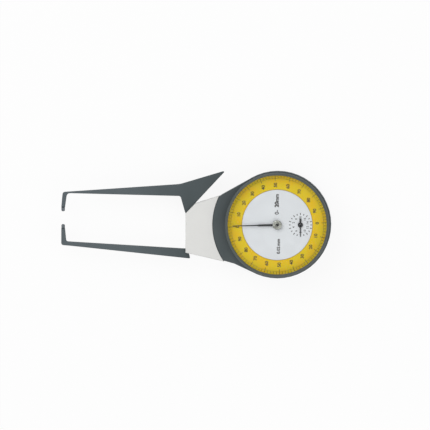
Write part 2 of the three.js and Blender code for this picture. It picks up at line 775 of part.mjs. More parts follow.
function movableArm() {
  const blade = join(
    plate(movableArmShape(), ARM_BACK, ARM_FRONT, ARM_EDGE, 4),
    disc(HUB_R, ARM_BACK, ARM_FRONT, 0, 0, HUB_SIDES),
  );
  const rebate = disc(HUB_R + REBATE_FIT, ARM_BACK - OVER, SECTOR_FRONT, 0, 0, HUB_SIDES);
  const sectorWay = box(
    0,
    SECTOR_WAY.length,
    -SECTOR_WAY.half,
    SECTOR_WAY.half,
    ARM_BACK - OVER,
    SECTOR_FRONT,
  );
  const threads = SECTOR_SCREW_PLACES.map((place) =>
    threadHole(SECTOR_SCREW, ARM_BACK, SECTOR_THREAD_FRONT, place),
  );
  const shaped = blade.intersect(thinning(PIVOT_X));
  const bore = throughHole(BUSH_R + BUSH_FIT, 0, 0, SHAFT_SIDES);
  return cut(shaped, rebate, sectorWay, bore, ...threads);
}

// The sector is a long light plate: a ring at the pivot, two arms, and a rim that carries the teeth.
const SECTOR_PITCH_R = (SECTOR_MODULE * SECTOR_FULL_TEETH) / 2;
const SECTOR_PITCH_ANGLE = (2 * Math.PI) / SECTOR_FULL_TEETH;
const SECTOR_FIRST = -8;
const SECTOR_LAST = 10;
const SECTOR_ROOT = 0.6;
const SECTOR_RIM = 4;
const SECTOR_FLARE = 6;
const SECTOR_WAIST = 0.62;
const SECTOR_WINDOW_RIM = 9;
const SPRING_PIN_PLACE = [34.1, 0.9];
const SPRING_PIN_R = 0.65;
const SPRING_PIN_PAD_R = 2.2;
const SPRING_PIN_STRIP_HALF = 1.5;

function sectorShape() {
  const points = [];
  for (let tooth = SECTOR_FIRST; tooth <= SECTOR_LAST; tooth += 1) {
    const centre = (tooth + 0.5) * SECTOR_PITCH_ANGLE;
    points.push(...toothPoints(SECTOR_FULL_TEETH, SECTOR_MODULE, centre, 1));
  }
  const rimInner = SECTOR_PITCH_R - SECTOR_RIM;
  const low = (SECTOR_FIRST - 0.4) * SECTOR_PITCH_ANGLE;
  const high = (SECTOR_LAST + 1.4) * SECTOR_PITCH_ANGLE;
  const at = (radius, angle) => [radius * Math.cos(angle), radius * Math.sin(angle)];
  points.push(at(SECTOR_PITCH_R - SECTOR_ROOT, high));
  points.push(at(rimInner, high));
  points.push(at(rimInner - SECTOR_FLARE, high * SECTOR_WAIST));
  points.push([7, 5.4]);
  points.push([5, -5.4]);
  points.push(at(rimInner - SECTOR_FLARE, low * SECTOR_WAIST));
  points.push(at(rimInner, low));
  points.push(at(SECTOR_PITCH_R - SECTOR_ROOT, low));
  return outline(points);
}

function sectorWindow() {
  const rimInner = SECTOR_PITCH_R - SECTOR_WINDOW_RIM;
  return outline([
    [14, -1.9],
    [rimInner, -2.6],
    [rimInner, 4.1],
    [14, 2.3],
  ]);
}

function sectorGear() {
  const back = SECTOR_BACK - OVER;
  const front = SECTOR_FRONT + OVER;
  const blank = join(
    plate(sectorShape(), SECTOR_BACK, SECTOR_FRONT),
    disc(HUB_R - FIT, SECTOR_BACK, SECTOR_FRONT, 0, 0, HUB_SIDES),
  );
  const [pinX] = SPRING_PIN_PLACE;
  const strip = box(
    pinX - SPRING_PIN_STRIP_HALF,
    pinX + SPRING_PIN_STRIP_HALF,
    -SECTOR_WAY.half,
    SECTOR_WAY.half,
    back,
    front,
  );
  const window = cut(
    plate(sectorWindow(), back, front),
    disc(SPRING_PIN_PAD_R, back, front, ...SPRING_PIN_PLACE),
    strip,
  );
  const heads = SECTOR_SCREW_PLACES.map((place) => headHole(SECTOR_SCREW, place));
  const shanks = SECTOR_SCREW_PLACES.map((place) => threadHole(SECTOR_SCREW, back, front, place));
  const pinHole = disc(SPRING_PIN_R + 2 * BUSH_FIT, back, front, ...SPRING_PIN_PLACE, HOLE_SIDES);
  const bore = throughHole(BUSH_R + 2 * BUSH_FIT, 0, 0, SHAFT_SIDES);
  return cut(blank, bore, window, pinHole, ...heads, ...shanks);
}

// A headed peg for a spring's hook.
const PEG_BACK = 5;
const PEG_HEAD_T = 0.5;

function springPeg(headR, front, place) {
  return turned(
    [
      [0, PEG_BACK],
      [headR, PEG_BACK],
      [headR, PEG_BACK + PEG_HEAD_T],
      [SPRING_PIN_R, PEG_BACK + PEG_HEAD_T],
      [SPRING_PIN_R, front],
      [0, front],
    ],
    HOLE_SIDES,
  ).translate([...place, 0]);
}

const SECTOR_PEG_HEAD_R = 1.1;
const CASE_PEG_HEAD_R = 1.3;

piece(armGroup, "movable_arm", movableArm(), armEnamel);
const movableTip = contactTip()
  .rotate([0, 0, 180])
  .translate([CONTACT_X - PIVOT_X, MOVABLE_SEAT_Y, 0]);
piece(armGroup, "movable_contact_tip", movableTip, carbide);
piece(armGroup, "pivot_bush", tube(PIN_R + FIT, BUSH_R, ARM_BACK, ARM_FRONT), brass);
piece(armGroup, "sector_gear", sectorGear(), brass);
const sectorPeg = springPeg(SECTOR_PEG_HEAD_R, SECTOR_FRONT, SPRING_PIN_PLACE);
piece(armGroup, "sector_spring_pin", sectorPeg, steel);
SECTOR_SCREW_PLACES.forEach((place, i) => {
  piece(armGroup, `sector_screw_${i + 1}`, placed(screw(SECTOR_SCREW), ...place), steel);
});

// Closing spring: a close helix between the sector's pin and a post, with a hook at each end.
const POST_PLACE = [PIVOT_X + SPRING_PIN_PLACE[0], 19.4];
const SPRING_Z = 6.6;
const SPRING_COIL_R = 1.5;
const SPRING_WIRE_R = 0.22;
const SPRING_TURNS = 9;
const SPRING_STEPS_PER_TURN = 6;
const SPRING_END = 3;
const HOOK_R = 1.1;
const HOOK_SWEEP = 270;
const HOOK_STEPS = 6;
const WIRE_SIDES = 4;

function hookPoints(centreY, firstAngle) {
  return Array.from({ length: HOOK_STEPS + 1 }, (_, step) => {
    const [x, y] = polar(HOOK_R, firstAngle + (HOOK_SWEEP * step) / HOOK_STEPS);
    return [x, centreY + y, SPRING_Z];
  });
}

function springPoints() {
  const from = SPRING_PIN_PLACE[1];
  const to = POST_PLACE[1];
  const length = to - from - 2 * SPRING_END;
  const steps = SPRING_TURNS * SPRING_STEPS_PER_TURN;
  const coil = Array.from({ length: steps + 1 }, (_, step) => {
    const [x, z] = polar(SPRING_COIL_R, (360 * step) / SPRING_STEPS_PER_TURN);
    return [x, from + SPRING_END + (length * step) / steps, SPRING_Z + z];
  });
  const points = [...hookPoints(from, -HOOK_SWEEP), ...coil, ...hookPoints(to, -90)];
  return points.map(([x, y, z]) => new THREE.Vector3(POST_PLACE[0] + x, y, z));
}

function wire(points, radius) {
  const section = Array.from({ length: WIRE_SIDES }, (_, side) =>
    polar(radius, (360 * side) / WIRE_SIDES),
  );
  const extrudePath = new THREE.CatmullRomCurve3(points, false, "centripetal");
  const settings = { steps: points.length, extrudePath, bevelEnabled: false };
  return solid(new THREE.ExtrudeGeometry(outline(section), settings));
}

const springPost = springPeg(CASE_PEG_HEAD_R, LOWER_PLATE_BACK, POST_PLACE);
piece(caseGroup, "spring_post", springPost, steel);
const closingSpring = wire(springPoints(), SPRING_WIRE_R).translate([-PIVOT_X, 0, 0]);
piece(armGroup, "closing_spring", closingSpring, springSteel);

// Movement frame: two round plates on three pillars, and a bridge below for the counter arbor.
const SHAFT_R = 0.7;
const PIVOT_END_R = 0.4;
const COLLAR_HOLE_R = 1.3;
const PILLAR_R = 1.6;
const PILLAR_PLACES = [60, 120, 270].map((degrees) => polar(23, degrees));
const BRIDGE_END_R = 3;
const BRIDGE_FOOT_R = 2.2;
const BRIDGE_LEG_SINK = 0.5;
const BRIDGE_UPPER = [19.5, 7];
const BRIDGE_LOWER = [19.5, -7];

function roundPlate(back, front) {
  return disc(PLATE_R, back, front, 0, 0, BORE_SIDES);
}

function lowerPlate() {
  return cut(
    roundPlate(LOWER_PLATE_BACK, LOWER_PLATE_FRONT),
    throughHole(COLLAR_HOLE_R, COUNTER_X, 0, SHAFT_SIDES),
    throughHole(PIVOT_END_R + FIT),
    throughHole(PIVOT_END_R + FIT, TAKE_UP_X),
    ...MOVEMENT_SCREW_PLACES.map((place) =>
      throughHole(MOVEMENT_SCREW.shankR + HEAD_FIT, ...place),
    ),
  );
}

function upperPlate() {
  return cut(
    roundPlate(UPPER_PLATE_BACK, UPPER_PLATE_FRONT),
    throughHole(SHAFT_R + FIT, COUNTER_X),
    throughHole(SHAFT_R + FIT),
    throughHole(PIVOT_END_R + FIT, TAKE_UP_X),
  );
}

function counterBridge() {
  const span = new THREE.Shape();
  span.absarc(COUNTER_X, 0, BRIDGE_END_R, 100 * DEGREE, 260 * DEGREE, false);
  span.absarc(...BRIDGE_LOWER, BRIDGE_FOOT_R, 200 * DEGREE, 360 * DEGREE, false);
  span.absarc(...BRIDGE_UPPER, BRIDGE_FOOT_R, 0, 160 * DEGREE, false);
  const legs = [BRIDGE_UPPER, BRIDGE_LOWER].map((place) =>
    disc(PILLAR_R, BRIDGE_FRONT - BRIDGE_LEG_SINK, LOWER_PLATE_BACK, ...place),
  );
  return cut(
    join(plate(span, BRIDGE_BACK, BRIDGE_FRONT, 0, 8), ...legs),
    throughHole(PIVOT_END_R + FIT, COUNTER_X),
  );
}

piece(caseGroup, "lower_movement_plate", lowerPlate(), brass);
piece(caseGroup, "upper_movement_plate", upperPlate(), brass);
piece(caseGroup, "counter_bridge", counterBridge(), brass);
PILLAR_PLACES.forEach((place, i) => {
  const pillar = disc(PILLAR_R, LOWER_PLATE_FRONT, UPPER_PLATE_BACK, ...place);
  piece(caseGroup, `movement_pillar_${i + 1}`, pillar, brass);
});
MOVEMENT_SCREW_PLACES.forEach((place, i) => {
  const made = placed(screw(MOVEMENT_SCREW).rotate([180, 0, 0]), ...place);
  piece(caseGroup, `movement_screw_${i + 1}`, made, steel);
});

// Arbors: a shaft between two heights, thinner where it runs in a plate.
const END_SHAKE = 0.1;
const HUB_PRESS = 0.03;

function arbor(stages) {
  const profile = [[0, stages[0].back]];
  for (const { radius, back, front } of stages) {
    profile.push([radius, back], [radius, front]);
  }
  profile.push([0, stages.at(-1).front]);
  return turned(profile, HOLE_SIDES);
}

// Counter arbor: driven by the sector, it turns once for 20 mm and carries the small hand.
const COUNTER_HAND_T = 0.3;
const COUNTER_HUB = { radius: 1.6, height: 0.55, bore: 0.42 };
const COUNTER_TAIL = 4;
const COUNTER_POINT = 7.2;
const COUNTER_NARROWING = 2.4;
const WHEEL_HUB_R = 2.4;
const WHEEL_HUB_STEP = 1;
const WHEEL_WINDOW_R = 2.9;
const WHEEL_WINDOWS = [45, 135, 225, 315].map((degrees) => polar(7.4, degrees));
const SECTOR_PINION_OVER = 0.3;

const counterArbor = arbor([
  { radius: PIVOT_END_R, back: BRIDGE_BACK + END_SHAKE, front: BRIDGE_FRONT + 2 * END_SHAKE },
  { radius: SHAFT_R, back: BRIDGE_FRONT + 2 * END_SHAKE, front: COUNTER_HAND_BACK + COUNTER_HAND_T },
]);

function counterWheel() {
  const boreR = SHAFT_R + HUB_PRESS;
  const firstTooth = Math.PI + Math.PI / WHEEL_TEETH;
  const rim = gear(WHEEL_TEETH, WHEEL_MODULE, firstTooth, WHEEL_BACK, WHEEL_FRONT, boreR, 1);
  const windows = WHEEL_WINDOWS.map((place) =>
    drill(WHEEL_WINDOW_R, WHEEL_BACK, WHEEL_FRONT, ...place),
  );
  const hub = tube(boreR, WHEEL_HUB_R, WHEEL_BACK, WHEEL_FRONT + WHEEL_HUB_STEP);
  return join(cut(rim, ...windows), hub);
}

const sectorPinion = gear(
  SECTOR_PINION_TEETH,
  SECTOR_MODULE,
  Math.PI,
  SECTOR_BACK - SECTOR_PINION_OVER,
  SECTOR_FRONT + SECTOR_PINION_OVER,
  SHAFT_R + HUB_PRESS,
  2,
);

function counterHand() {
  const back = COUNTER_HAND_BACK;
  const blade = outline([
    [-0.6, COUNTER_TAIL],
    [-0.6, 0],
    [-0.35, -COUNTER_NARROWING],
    [-0.18, -COUNTER_POINT],
    [0.18, -COUNTER_POINT],
    [0.35, -COUNTER_NARROWING],
    [0.6, 0],
    [0.6, COUNTER_TAIL],
  ]);
  const hand = join(
    plate(blade, back, back + COUNTER_HAND_T),
    disc(COUNTER_HUB.radius, back, back + COUNTER_HUB.height),
  );
  const bore = disc(SHAFT_R + HUB_PRESS, back - OVER, back + COUNTER_HUB.bore, 0, 0, HOLE_SIDES);
  return cut(hand, bore);
}

piece(counterGroup, "counter_arbor", counterArbor, steel);
piece(counterGroup, "sector_pinion", sectorPinion, steel);
piece(counterGroup, "counter_wheel", counterWheel(), brass);
piece(counterGroup, "counter_hand", counterHand(), handBlack);

// Centre arbor: ten turns for each turn of the counter, it carries the needle.
const NEEDLE_T = 0.25;
const NEEDLE_LENGTH = 28;
const NEEDLE_STEP_R = 12.6;
const NEEDLE_EYE_R = 1.7;
const NEEDLE_HUB_R = 2.9;
const NEEDLE_HUB_BACK = NEEDLE_BACK + NEEDLE_T;
const NEEDLE_HUB_SIDES = 24;
const NEEDLE_CAP = { radius: 0.7, back: NEEDLE_BACK + 0.5, front: NEEDLE_BACK + 1 };
const CENTRE_PINION = { back: WHEEL_BACK - 0.2, front: WHEEL_FRONT + 0.9 };

const centreArbor = arbor([
  { radius: PIVOT_END_R, back: LOWER_PLATE_BACK + END_SHAKE, front: LOWER_PLATE_FRONT + END_SHAKE },
  { radius: SHAFT_R, back: LOWER_PLATE_FRONT + END_SHAKE, front: NEEDLE_BACK + 2 * END_SHAKE },
]);

function needle() {
  const blade = outline([
    [0, -0.62],
    [NEEDLE_STEP_R, -0.45],
    [NEEDLE_LENGTH, -0.2],
    [NEEDLE_LENGTH, 0.2],
    [NEEDLE_STEP_R, 0.45],
    [0, 0.62],
  ]);
  const made = join(
    plate(blade, NEEDLE_BACK, NEEDLE_HUB_BACK),
    disc(NEEDLE_EYE_R, NEEDLE_BACK, NEEDLE_HUB_BACK),
  );
  return cut(made, throughHole(SHAFT_R + HUB_PRESS)).rotate([0, 0, 180 + NEEDLE_TURN / DEGREE]);
}

function needleHub() {
  const back = NEEDLE_HUB_BACK;
  const dome = turned(
    [
      [0, back],
      [NEEDLE_HUB_R, back],
      [NEEDLE_HUB_R, back + 0.25],
      [NEEDLE_HUB_R - 0.5, back + 0.5],
      [1.1, back + 0.6],
      [0, back + 0.6],
    ],
    NEEDLE_HUB_SIDES,
  );
  const { radius, back: capBack, front: capFront } = NEEDLE_CAP;
  return cut(dome, disc(radius + HUB_PRESS, capBack, capFront, 0, 0, HOLE_SIDES));
}

const centrePinion = gear(
  CENTRE_PINION_TEETH,
  WHEEL_MODULE,
  0,
  CENTRE_PINION.back,
  CENTRE_PINION.front,
  SHAFT_R + HUB_PRESS,
  2,
);
const needleCap = disc(NEEDLE_CAP.radius, NEEDLE_CAP.back, NEEDLE_CAP.front, 0, 0, HOLE_SIDES);
piece(needleGroup, "centre_arbor", centreArbor, steel);
piece(needleGroup, "centre_pinion", centrePinion, steel);
piece(needleGroup, "needle", needle(), handBlack);
piece(needleGroup, "needle_hub", needleHub(), steel);
piece(needleGroup, "needle_cap", needleCap, carbide);

// Take-up wheel: its flat spiral spring keeps every tooth pressed to one side.
const HAIRSPRING_BACK = 14.1;
const HAIRSPRING_FRONT = 14.7;
const HAIRSPRING_INNER_R = 1.55;
const HAIRSPRING_OUTER_R = 5.8;
const HAIRSPRING_TURNS = 3;
const HAIRSPRING_STEPS_PER_TURN = 12;
const HAIRSPRING_T = 0.14;
const COLLET_R = 1.5;
const STUD_R = 0.5;

function hairspring() {
  const steps = HAIRSPRING_TURNS * HAIRSPRING_STEPS_PER_TURN;
  const spiral = (extra) =>
    Array.from({ length: steps + 1 }, (_, step) => {
      const radius = HAIRSPRING_INNER_R + ((HAIRSPRING_OUTER_R - HAIRSPRING_INNER_R) * step) / steps;
      return polar(radius + extra, 180 + (360 * step) / HAIRSPRING_STEPS_PER_TURN);
    });
  const edge = outline([...spiral(HAIRSPRING_T), ...spiral(0).reverse()]);
  return plate(edge, HAIRSPRING_BACK, HAIRSPRING_FRONT);
}

const takeUpArbor = arbor([
  { radius: PIVOT_END_R, back: LOWER_PLATE_BACK + END_SHAKE, front: LOWER_PLATE_FRONT + END_SHAKE },
  { radius: SHAFT_R, back: LOWER_PLATE_FRONT + END_SHAKE, front: UPPER_PLATE_BACK - END_SHAKE },
  { radius: PIVOT_END_R, back: UPPER_PLATE_BACK - END_SHAKE, front: UPPER_PLATE_FRONT - END_SHAKE },
]);
const takeUpWheel = gear(
  TAKE_UP_TEETH,
  WHEEL_MODULE,
  Math.PI / TAKE_UP_TEETH,
  WHEEL_BACK,
  WHEEL_FRONT,
  SHAFT_R + HUB_PRESS,
  1,
);
const collet = tube(
  SHAFT_R + HUB_PRESS,
  COLLET_R,
  HAIRSPRING_BACK - END_SHAKE,
  HAIRSPRING_FRONT + END_SHAKE,
);
const studX = TAKE_UP_X - HAIRSPRING_OUTER_R - HAIRSPRING_T - STUD_R - BUSH_FIT;
const stud = disc(STUD_R, HAIRSPRING_BACK, UPPER_PLATE_BACK, studX, 0, HOLE_SIDES);
piece(takeUpGroup, "take_up_arbor", takeUpArbor, steel);
piece(takeUpGroup, "take_up_wheel", takeUpWheel, brass);
piece(takeUpGroup, "hairspring_collet", collet, brass);
piece(takeUpGroup, "hairspring", hairspring(), springSteel);
piece(caseGroup, "hairspring_stud", stud, brass);

// Dial face, standing on three feet on the upper plate.
const FOOT_R = 1.2;
const FOOT_SINK = 0.2;
const FOOT_PLACES = [60, 180, 300].map((degrees) => polar(18.5, degrees));
const HAND_HOLE_R = 1.2;

function dialFace() {
  const feet = FOOT_PLACES.map((place) =>
    disc(FOOT_R, UPPER_PLATE_FRONT, FACE_BACK + FOOT_SINK, ...place, HOLE_SIDES),
  );
  return cut(
    join(disc(FACE_R, FACE_BACK, FACE_FRONT, 0, 0, ROUND_SIDES), ...feet),
    throughHole(HAND_HOLE_R, COUNTER_X),
    throughHole(HAND_HOLE_R),
  );
}

piece(caseGroup, "dial_face", dialFace(), faceWhite);

// Bezel assembly, turning about the dial axis: it carries the crystal and the yellow scale ring.
const KNURLS = 36;
const KNURL_DEPTH = 0.22;
const BAND_FRONT = CRYSTAL_FRONT - 0.8;
const BEZEL_SLOPE = { outer: 0.4, inner: 1.2 };
const BEZEL_LIP_EDGE = 0.3;
const INSERT_R = BEZEL_BORE_R - FIT;
const SCALE_INNER_R = FACE_R + 0.25;
const SPACER_INNER_R = BEZEL_LIP_R + 0.05;
const RETAINING_BORE_R = 30;
const RETAINING_STEP = { radius: 30.4, back: BEZEL_BACK + 0.6 };
const SNAP_RING = { radius: 29.86, height: 17, wireR: 0.24, from: 10, sweep: 340, steps: 32 };

function bezel() {
  const count = 2 * KNURLS;
  const grip = Array.from({ length: count }, (_, i) =>
    polar(i % 2 ? BEZEL_R : BEZEL_R - KNURL_DEPTH, (360 * i) / count),
  );
  const band = plate(outline(grip), BEZEL_BACK, BAND_FRONT);
  const lipBack = BEZEL_FRONT - BEZEL_LIP_EDGE;
  const body = turned([
    [0, BAND_FRONT],
    [BEZEL_R - BEZEL_SLOPE.outer, BAND_FRONT],
    [BEZEL_R - BEZEL_SLOPE.inner, BEZEL_FRONT],
    [BEZEL_LIP_R + BEZEL_LIP_EDGE, BEZEL_FRONT],
    [BEZEL_LIP_R, lipBack],
    [0, lipBack],
  ]);
  return cut(
    join(body, band),
    disc(BEZEL_BORE_R, BEZEL_BACK - OVER, CRYSTAL_FRONT, 0, 0, ROUND_SIDES),
    drill(BEZEL_LIP_R, BEZEL_BACK, BEZEL_FRONT, 0, 0, ROUND_SIDES),
  );
}

function bezelRetainingRing() {
  const back = BEZEL_BACK + FIT;
  const { radius, back: stepBack } = RETAINING_STEP;
  return cut(
    disc(BEZEL_BORE_R - FIT / 2, back, SCALE_BACK, 0, 0, ROUND_SIDES),
    drill(RETAINING_BORE_R, back, SCALE_BACK, 0, 0, SNAP_RING.steps),
    disc(radius, stepBack, SCALE_BACK + OVER, 0, 0, SNAP_RING.steps),
  );
}

// A split wire ring, under the collar's lip and over the retaining ring's step.
function snapRing() {
  const { radius, height, wireR, from, sweep, steps } = SNAP_RING;
  const points = Array.from({ length: steps + 1 }, (_, step) => {
    const [x, y] = polar(radius, from + (sweep * step) / steps);
    return new THREE.Vector3(x, y, height);
  });
  return wire(points, wireR);
}

const crystal = disc(INSERT_R, CRYSTAL_BACK, CRYSTAL_FRONT, 0, 0, ROUND_SIDES);
const spacer = tube(SPACER_INNER_R, INSERT_R, SCALE_FRONT, CRYSTAL_BACK, 0, 0, ROUND_SIDES);
const scaleRing = tube(SCALE_INNER_R, INSERT_R, SCALE_BACK, SCALE_FRONT, 0, 0, ROUND_SIDES);
piece(bezelGroup, "bezel", bezel(), caseEnamel);
piece(bezelGroup, "crystal", crystal, clearPlastic);
piece(bezelGroup, "crystal_spacer_ring", spacer, caseEnamel);
piece(bezelGroup, "scale_ring", scaleRing, scaleYellow);
piece(bezelGroup, "bezel_retaining_ring", bezelRetainingRing(), brass);
piece(caseGroup, "bezel_snap_ring", snapRing(), springSteel);

export default instrument;
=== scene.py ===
"""Outside dial caliper lying on its back. Metres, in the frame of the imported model.

Sizes below are millimetres until a mesh is made. X runs along the gauge, the contacts at -X,
Z runs up out of the dial, and the dial axis is X = Y = 0.
"""

import json
import math

import bpy
import numpy as np
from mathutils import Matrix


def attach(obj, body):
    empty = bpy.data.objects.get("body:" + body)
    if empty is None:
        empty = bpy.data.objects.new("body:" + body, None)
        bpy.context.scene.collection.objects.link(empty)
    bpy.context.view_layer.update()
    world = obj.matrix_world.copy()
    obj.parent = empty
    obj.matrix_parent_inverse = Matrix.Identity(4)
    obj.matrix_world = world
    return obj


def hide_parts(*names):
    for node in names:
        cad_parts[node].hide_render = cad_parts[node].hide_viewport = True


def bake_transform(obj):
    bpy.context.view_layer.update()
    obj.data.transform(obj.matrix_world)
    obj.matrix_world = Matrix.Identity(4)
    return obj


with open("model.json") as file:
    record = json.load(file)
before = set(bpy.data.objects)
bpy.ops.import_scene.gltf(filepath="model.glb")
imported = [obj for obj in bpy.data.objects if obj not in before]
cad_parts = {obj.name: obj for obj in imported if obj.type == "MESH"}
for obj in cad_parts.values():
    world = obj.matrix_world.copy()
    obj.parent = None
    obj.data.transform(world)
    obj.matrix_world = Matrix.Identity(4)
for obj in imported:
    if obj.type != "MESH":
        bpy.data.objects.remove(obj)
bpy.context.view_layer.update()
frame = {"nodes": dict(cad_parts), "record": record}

MM = 0.001
DEGREE = math.pi / 180
CREASE = 32 * DEGREE

# Places and heights shared with the CAD.
COUNTER_X = 14.52
RING_INNER_R = 22.21
RING_OUTER_R = 31.6
FACE_Z = 19.0
RING_BACK_Z = 18.3
RING_Z = 19.1
ARM_MID_Z = 11.0
CONTACT_X = -134.7
CONTACT_Y = 0.2
REST_GAP = 8.0
TIP_R = 1.1
TIP_DOME = 0.8
TIP_LENGTH = 2.4

# The thickness of printed ink, and how far the edges of the hands are rounded.
INK = 0.02
HAND_EDGE = 0.06

# Shapes: points in millimetres, and faces that point outwards.


def put_in_scene(name, vertices, faces):
    """One piece from points in millimetres and faces, smooth except at edges past CREASE."""
    mesh = bpy.data.meshes.new(name)
    mesh.from_pydata(np.asarray(vertices, float) * MM, [], faces)
    mesh.polygons.foreach_set("use_smooth", np.ones(len(mesh.polygons), bool))
    mesh.set_sharp_from_angle(angle=CREASE)
    mesh.update()
    obj = bpy.data.objects.new(name, mesh)
    bpy.context.scene.collection.objects.link(obj)
    return obj


def skin(grid, loop_rows=False):
    """Points and faces over a grid of rows by columns whose columns loop.

    Cell (i, j) joins points (i, j), (i, j + 1), (i + 1, j + 1) and (i + 1, j). Rows that don't
    loop are closed by one flat face at either end.
    """
    rows, columns = grid.shape[:2]
    index = np.arange(rows * columns).reshape(rows, columns)
    lower = index if loop_rows else index[:-1]
    upper = np.roll(index, -1, axis=0) if loop_rows else index[1:]
    quads = np.stack(
        [lower, np.roll(lower, -1, axis=1), np.roll(upper, -1, axis=1), upper], axis=-1
    )
    faces = quads.reshape(-1, 4).tolist()
    if not loop_rows:
        faces += [index[0, ::-1].tolist(), index[-1].tolist()]
    return grid.reshape(-1, 3), faces


def merged(parts):
    """Several (points, faces) shells as one: each shell's faces are numbered on from the last's."""
    points, faces, start = [], [], 0
    for vertices, cells in parts:
        points.append(vertices)
        faces += [[start + corner for corner in cell] for cell in cells]
        start += len(vertices)
    return np.concatenate(points), faces


def rounded(corners, radii, steps=5):
    """A closed polygon whose corners are rounded by quadratic arcs.

    Each corner B between A and C becomes (1-t)^2 P + 2t(1-t) B + t^2 Q, with P and Q on BA and BC
    at the corner's own distance from B.
    """
    b = np.asarray(corners, float)
    reach = np.broadcast_to(np.asarray(radii, float), len(b))[:, None]
    to_a = np.roll(b, 1, axis=0) - b
    to_c = np.roll(b, -1, axis=0) - b
    p = b + to_a / np.linalg.norm(to_a, axis=1, keepdims=True) * reach
    q = b + to_c / np.linalg.norm(to_c, axis=1, keepdims=True) * reach
    t = np.linspace(0, 1, steps)[None, :, None]
    curve = (1 - t) ** 2 * p[:, None] + 2 * t * (1 - t) * b[:, None] + t**2 * q[:, None]
    path = curve.reshape(-1, 2)
    step = np.linalg.norm(np.roll(path, -1, axis=0) - path, axis=1)
    return path[step > 1e-4]


def turned(profile, sides=144, loop_rows=True, wave=None):
    """A surface of revolution: point (r, z) goes to (r cos a, r sin a, z) for each angle a.

    The profile runs counter-clockwise with r to the right. wave(a, rows) gives a radius that is
    taken off at each angle and row, as for a milled edge.
    """
    r, z = np.asarray(profile, float).T
    a = np.linspace(0, 2 * math.pi, sides, endpoint=False)
    r, z, a = np.broadcast_arrays(r[:, None], z[:, None], a[None, :])
    radius = r - wave(a, z) if wave else r
    grid = np.stack([radius * np.cos(a), radius * np.sin(a), z], axis=-1)
    return skin(grid, loop_rows)


def inward(path, inset):
    """Each point of a closed counter-clockwise path moved in along its two edges' bisector.

    The move is inset / cos(half the turn), so the edges shift in parallel.
    """
    edge = np.roll(path, -1, axis=0) - path
    edge /= np.linalg.norm(edge, axis=1, keepdims=True)
    normal = np.stack([-edge[:, 1], edge[:, 0]], axis=1)
    before = np.roll(normal, 1, axis=0)
    bisector = normal + before
    scale = 2 / np.maximum(np.sum(bisector**2, axis=1, keepdims=True), 0.5)
    return path + bisector * inset * scale


def slab(path, back, front, round_r, steps=5):
    """A plate of an outline with edges rounded by quarter circles of radius round_r.

    back and front are heights, or functions of a point's x. At turn t the edge is moved in by
    r (1 - cos t) and sinks by r (1 - sin t) below the face.
    """
    t = np.linspace(0, math.pi / 2, steps)
    inset = np.concatenate([(1 - np.cos(t))[::-1], 1 - np.cos(t)]) * round_r
    drop = np.concatenate([(1 - np.sin(t))[::-1], 1 - np.sin(t)]) * round_r
    rows = []
    for row, (move, sink) in enumerate(zip(inset, drop)):
        ring = inward(path, move)
        low = back(ring[:, 0]) if callable(back) else np.full(len(ring), back)
        high = front(ring[:, 0]) if callable(front) else np.full(len(ring), front)
        z = low + sink if row < steps else high - sink
        rows.append(np.column_stack([ring, z]))
    return skin(np.stack(rows))


def bars(centres, angles, lengths, widths, low, high):
    """Flat printed bars: one closed block for each centre, turned to its angle."""
    corner = np.array([[-1, -1], [1, -1], [1, 1], [-1, 1]]) / 2
    flat = corner[None] * np.stack([lengths, widths], axis=1)[:, None]
    cos, sin = np.cos(angles)[:, None], np.sin(angles)[:, None]
    x = flat[..., 0] * cos - flat[..., 1] * sin + centres[:, None, 0]
    y = flat[..., 0] * sin + flat[..., 1] * cos + centres[:, None, 1]
    ring = np.stack([x, y], axis=-1)
    below = np.concatenate([ring, np.full((*x.shape, 1), low)], axis=-1)
    above = np.concatenate([ring, np.full((*x.shape, 1), high)], axis=-1)
    points = np.concatenate([below, above], axis=1).reshape(-1, 3)
    block = np.array(
        [[3, 2, 1, 0], [4, 5, 6, 7], [0, 1, 5, 4], [1, 2, 6, 5], [2, 3, 7, 6], [3, 0, 4, 7]]
    )
    faces = (block[None] + 8 * np.arange(len(centres))[:, None, None]).reshape(-1, 4)
    return points, faces.tolist()


def lettering(words, height, centre, low, bold=0.0):
    """Printed letters as a closed film, read from the contact side, so their tops point to -X.

    The font's outline is grown by bold, a share of its size, filled flat and set to its height.
    The film has that fill above, the same turned over below, and a wall along each edge that
    belongs to one triangle only.
    """
    curve = bpy.data.curves.new("lettering", "FONT")
    curve.body = words
    curve.offset = bold
    curve.resolution_u = 3
    holder = bpy.data.objects.new("lettering", curve)
    mesh = bpy.data.meshes.new_from_object(holder)
    mesh.calc_loop_triangles()
    points = np.empty(len(mesh.vertices) * 3, np.float32)
    mesh.vertices.foreach_get("co", points)
    corners = np.empty(len(mesh.loop_triangles) * 3, np.int32)
    mesh.loop_triangles.foreach_get("vertices", corners)
    bpy.data.objects.remove(holder)
    bpy.data.curves.remove(curve)
    bpy.data.meshes.remove(mesh)
    flat, same = np.unique(points.reshape(-1, 3)[:, :2].round(4), axis=0, return_inverse=True)
    below = same.reshape(-1)[corners].reshape(-1, 3)
    below = below[(below != np.roll(below, 1, axis=1)).all(axis=1)]
    above = below + len(flat)
    edges = np.concatenate([below[:, [0, 1]], below[:, [1, 2]], below[:, [2, 0]]])
    alone = ~np.isin(edges @ [len(flat), 1], edges @ [1, len(flat)])
    walls = np.concatenate([edges[alone], edges[alone][:, ::-1] + len(flat)], axis=1)
    faces = above.tolist() + below[:, ::-1].tolist() + walls.tolist()
    lowest, highest = flat.min(axis=0), flat.max(axis=0)
    x, y = ((flat - (lowest + highest) / 2) * height / (highest[1] - lowest[1])).T
    layers = [
        np.column_stack([centre[0] - y, centre[1] + x, np.full_like(x, z)])
        for z in (low, low + INK)
    ]
    return np.concatenate(layers), faces


# Materials: each is named for the real one and how its surface was made.


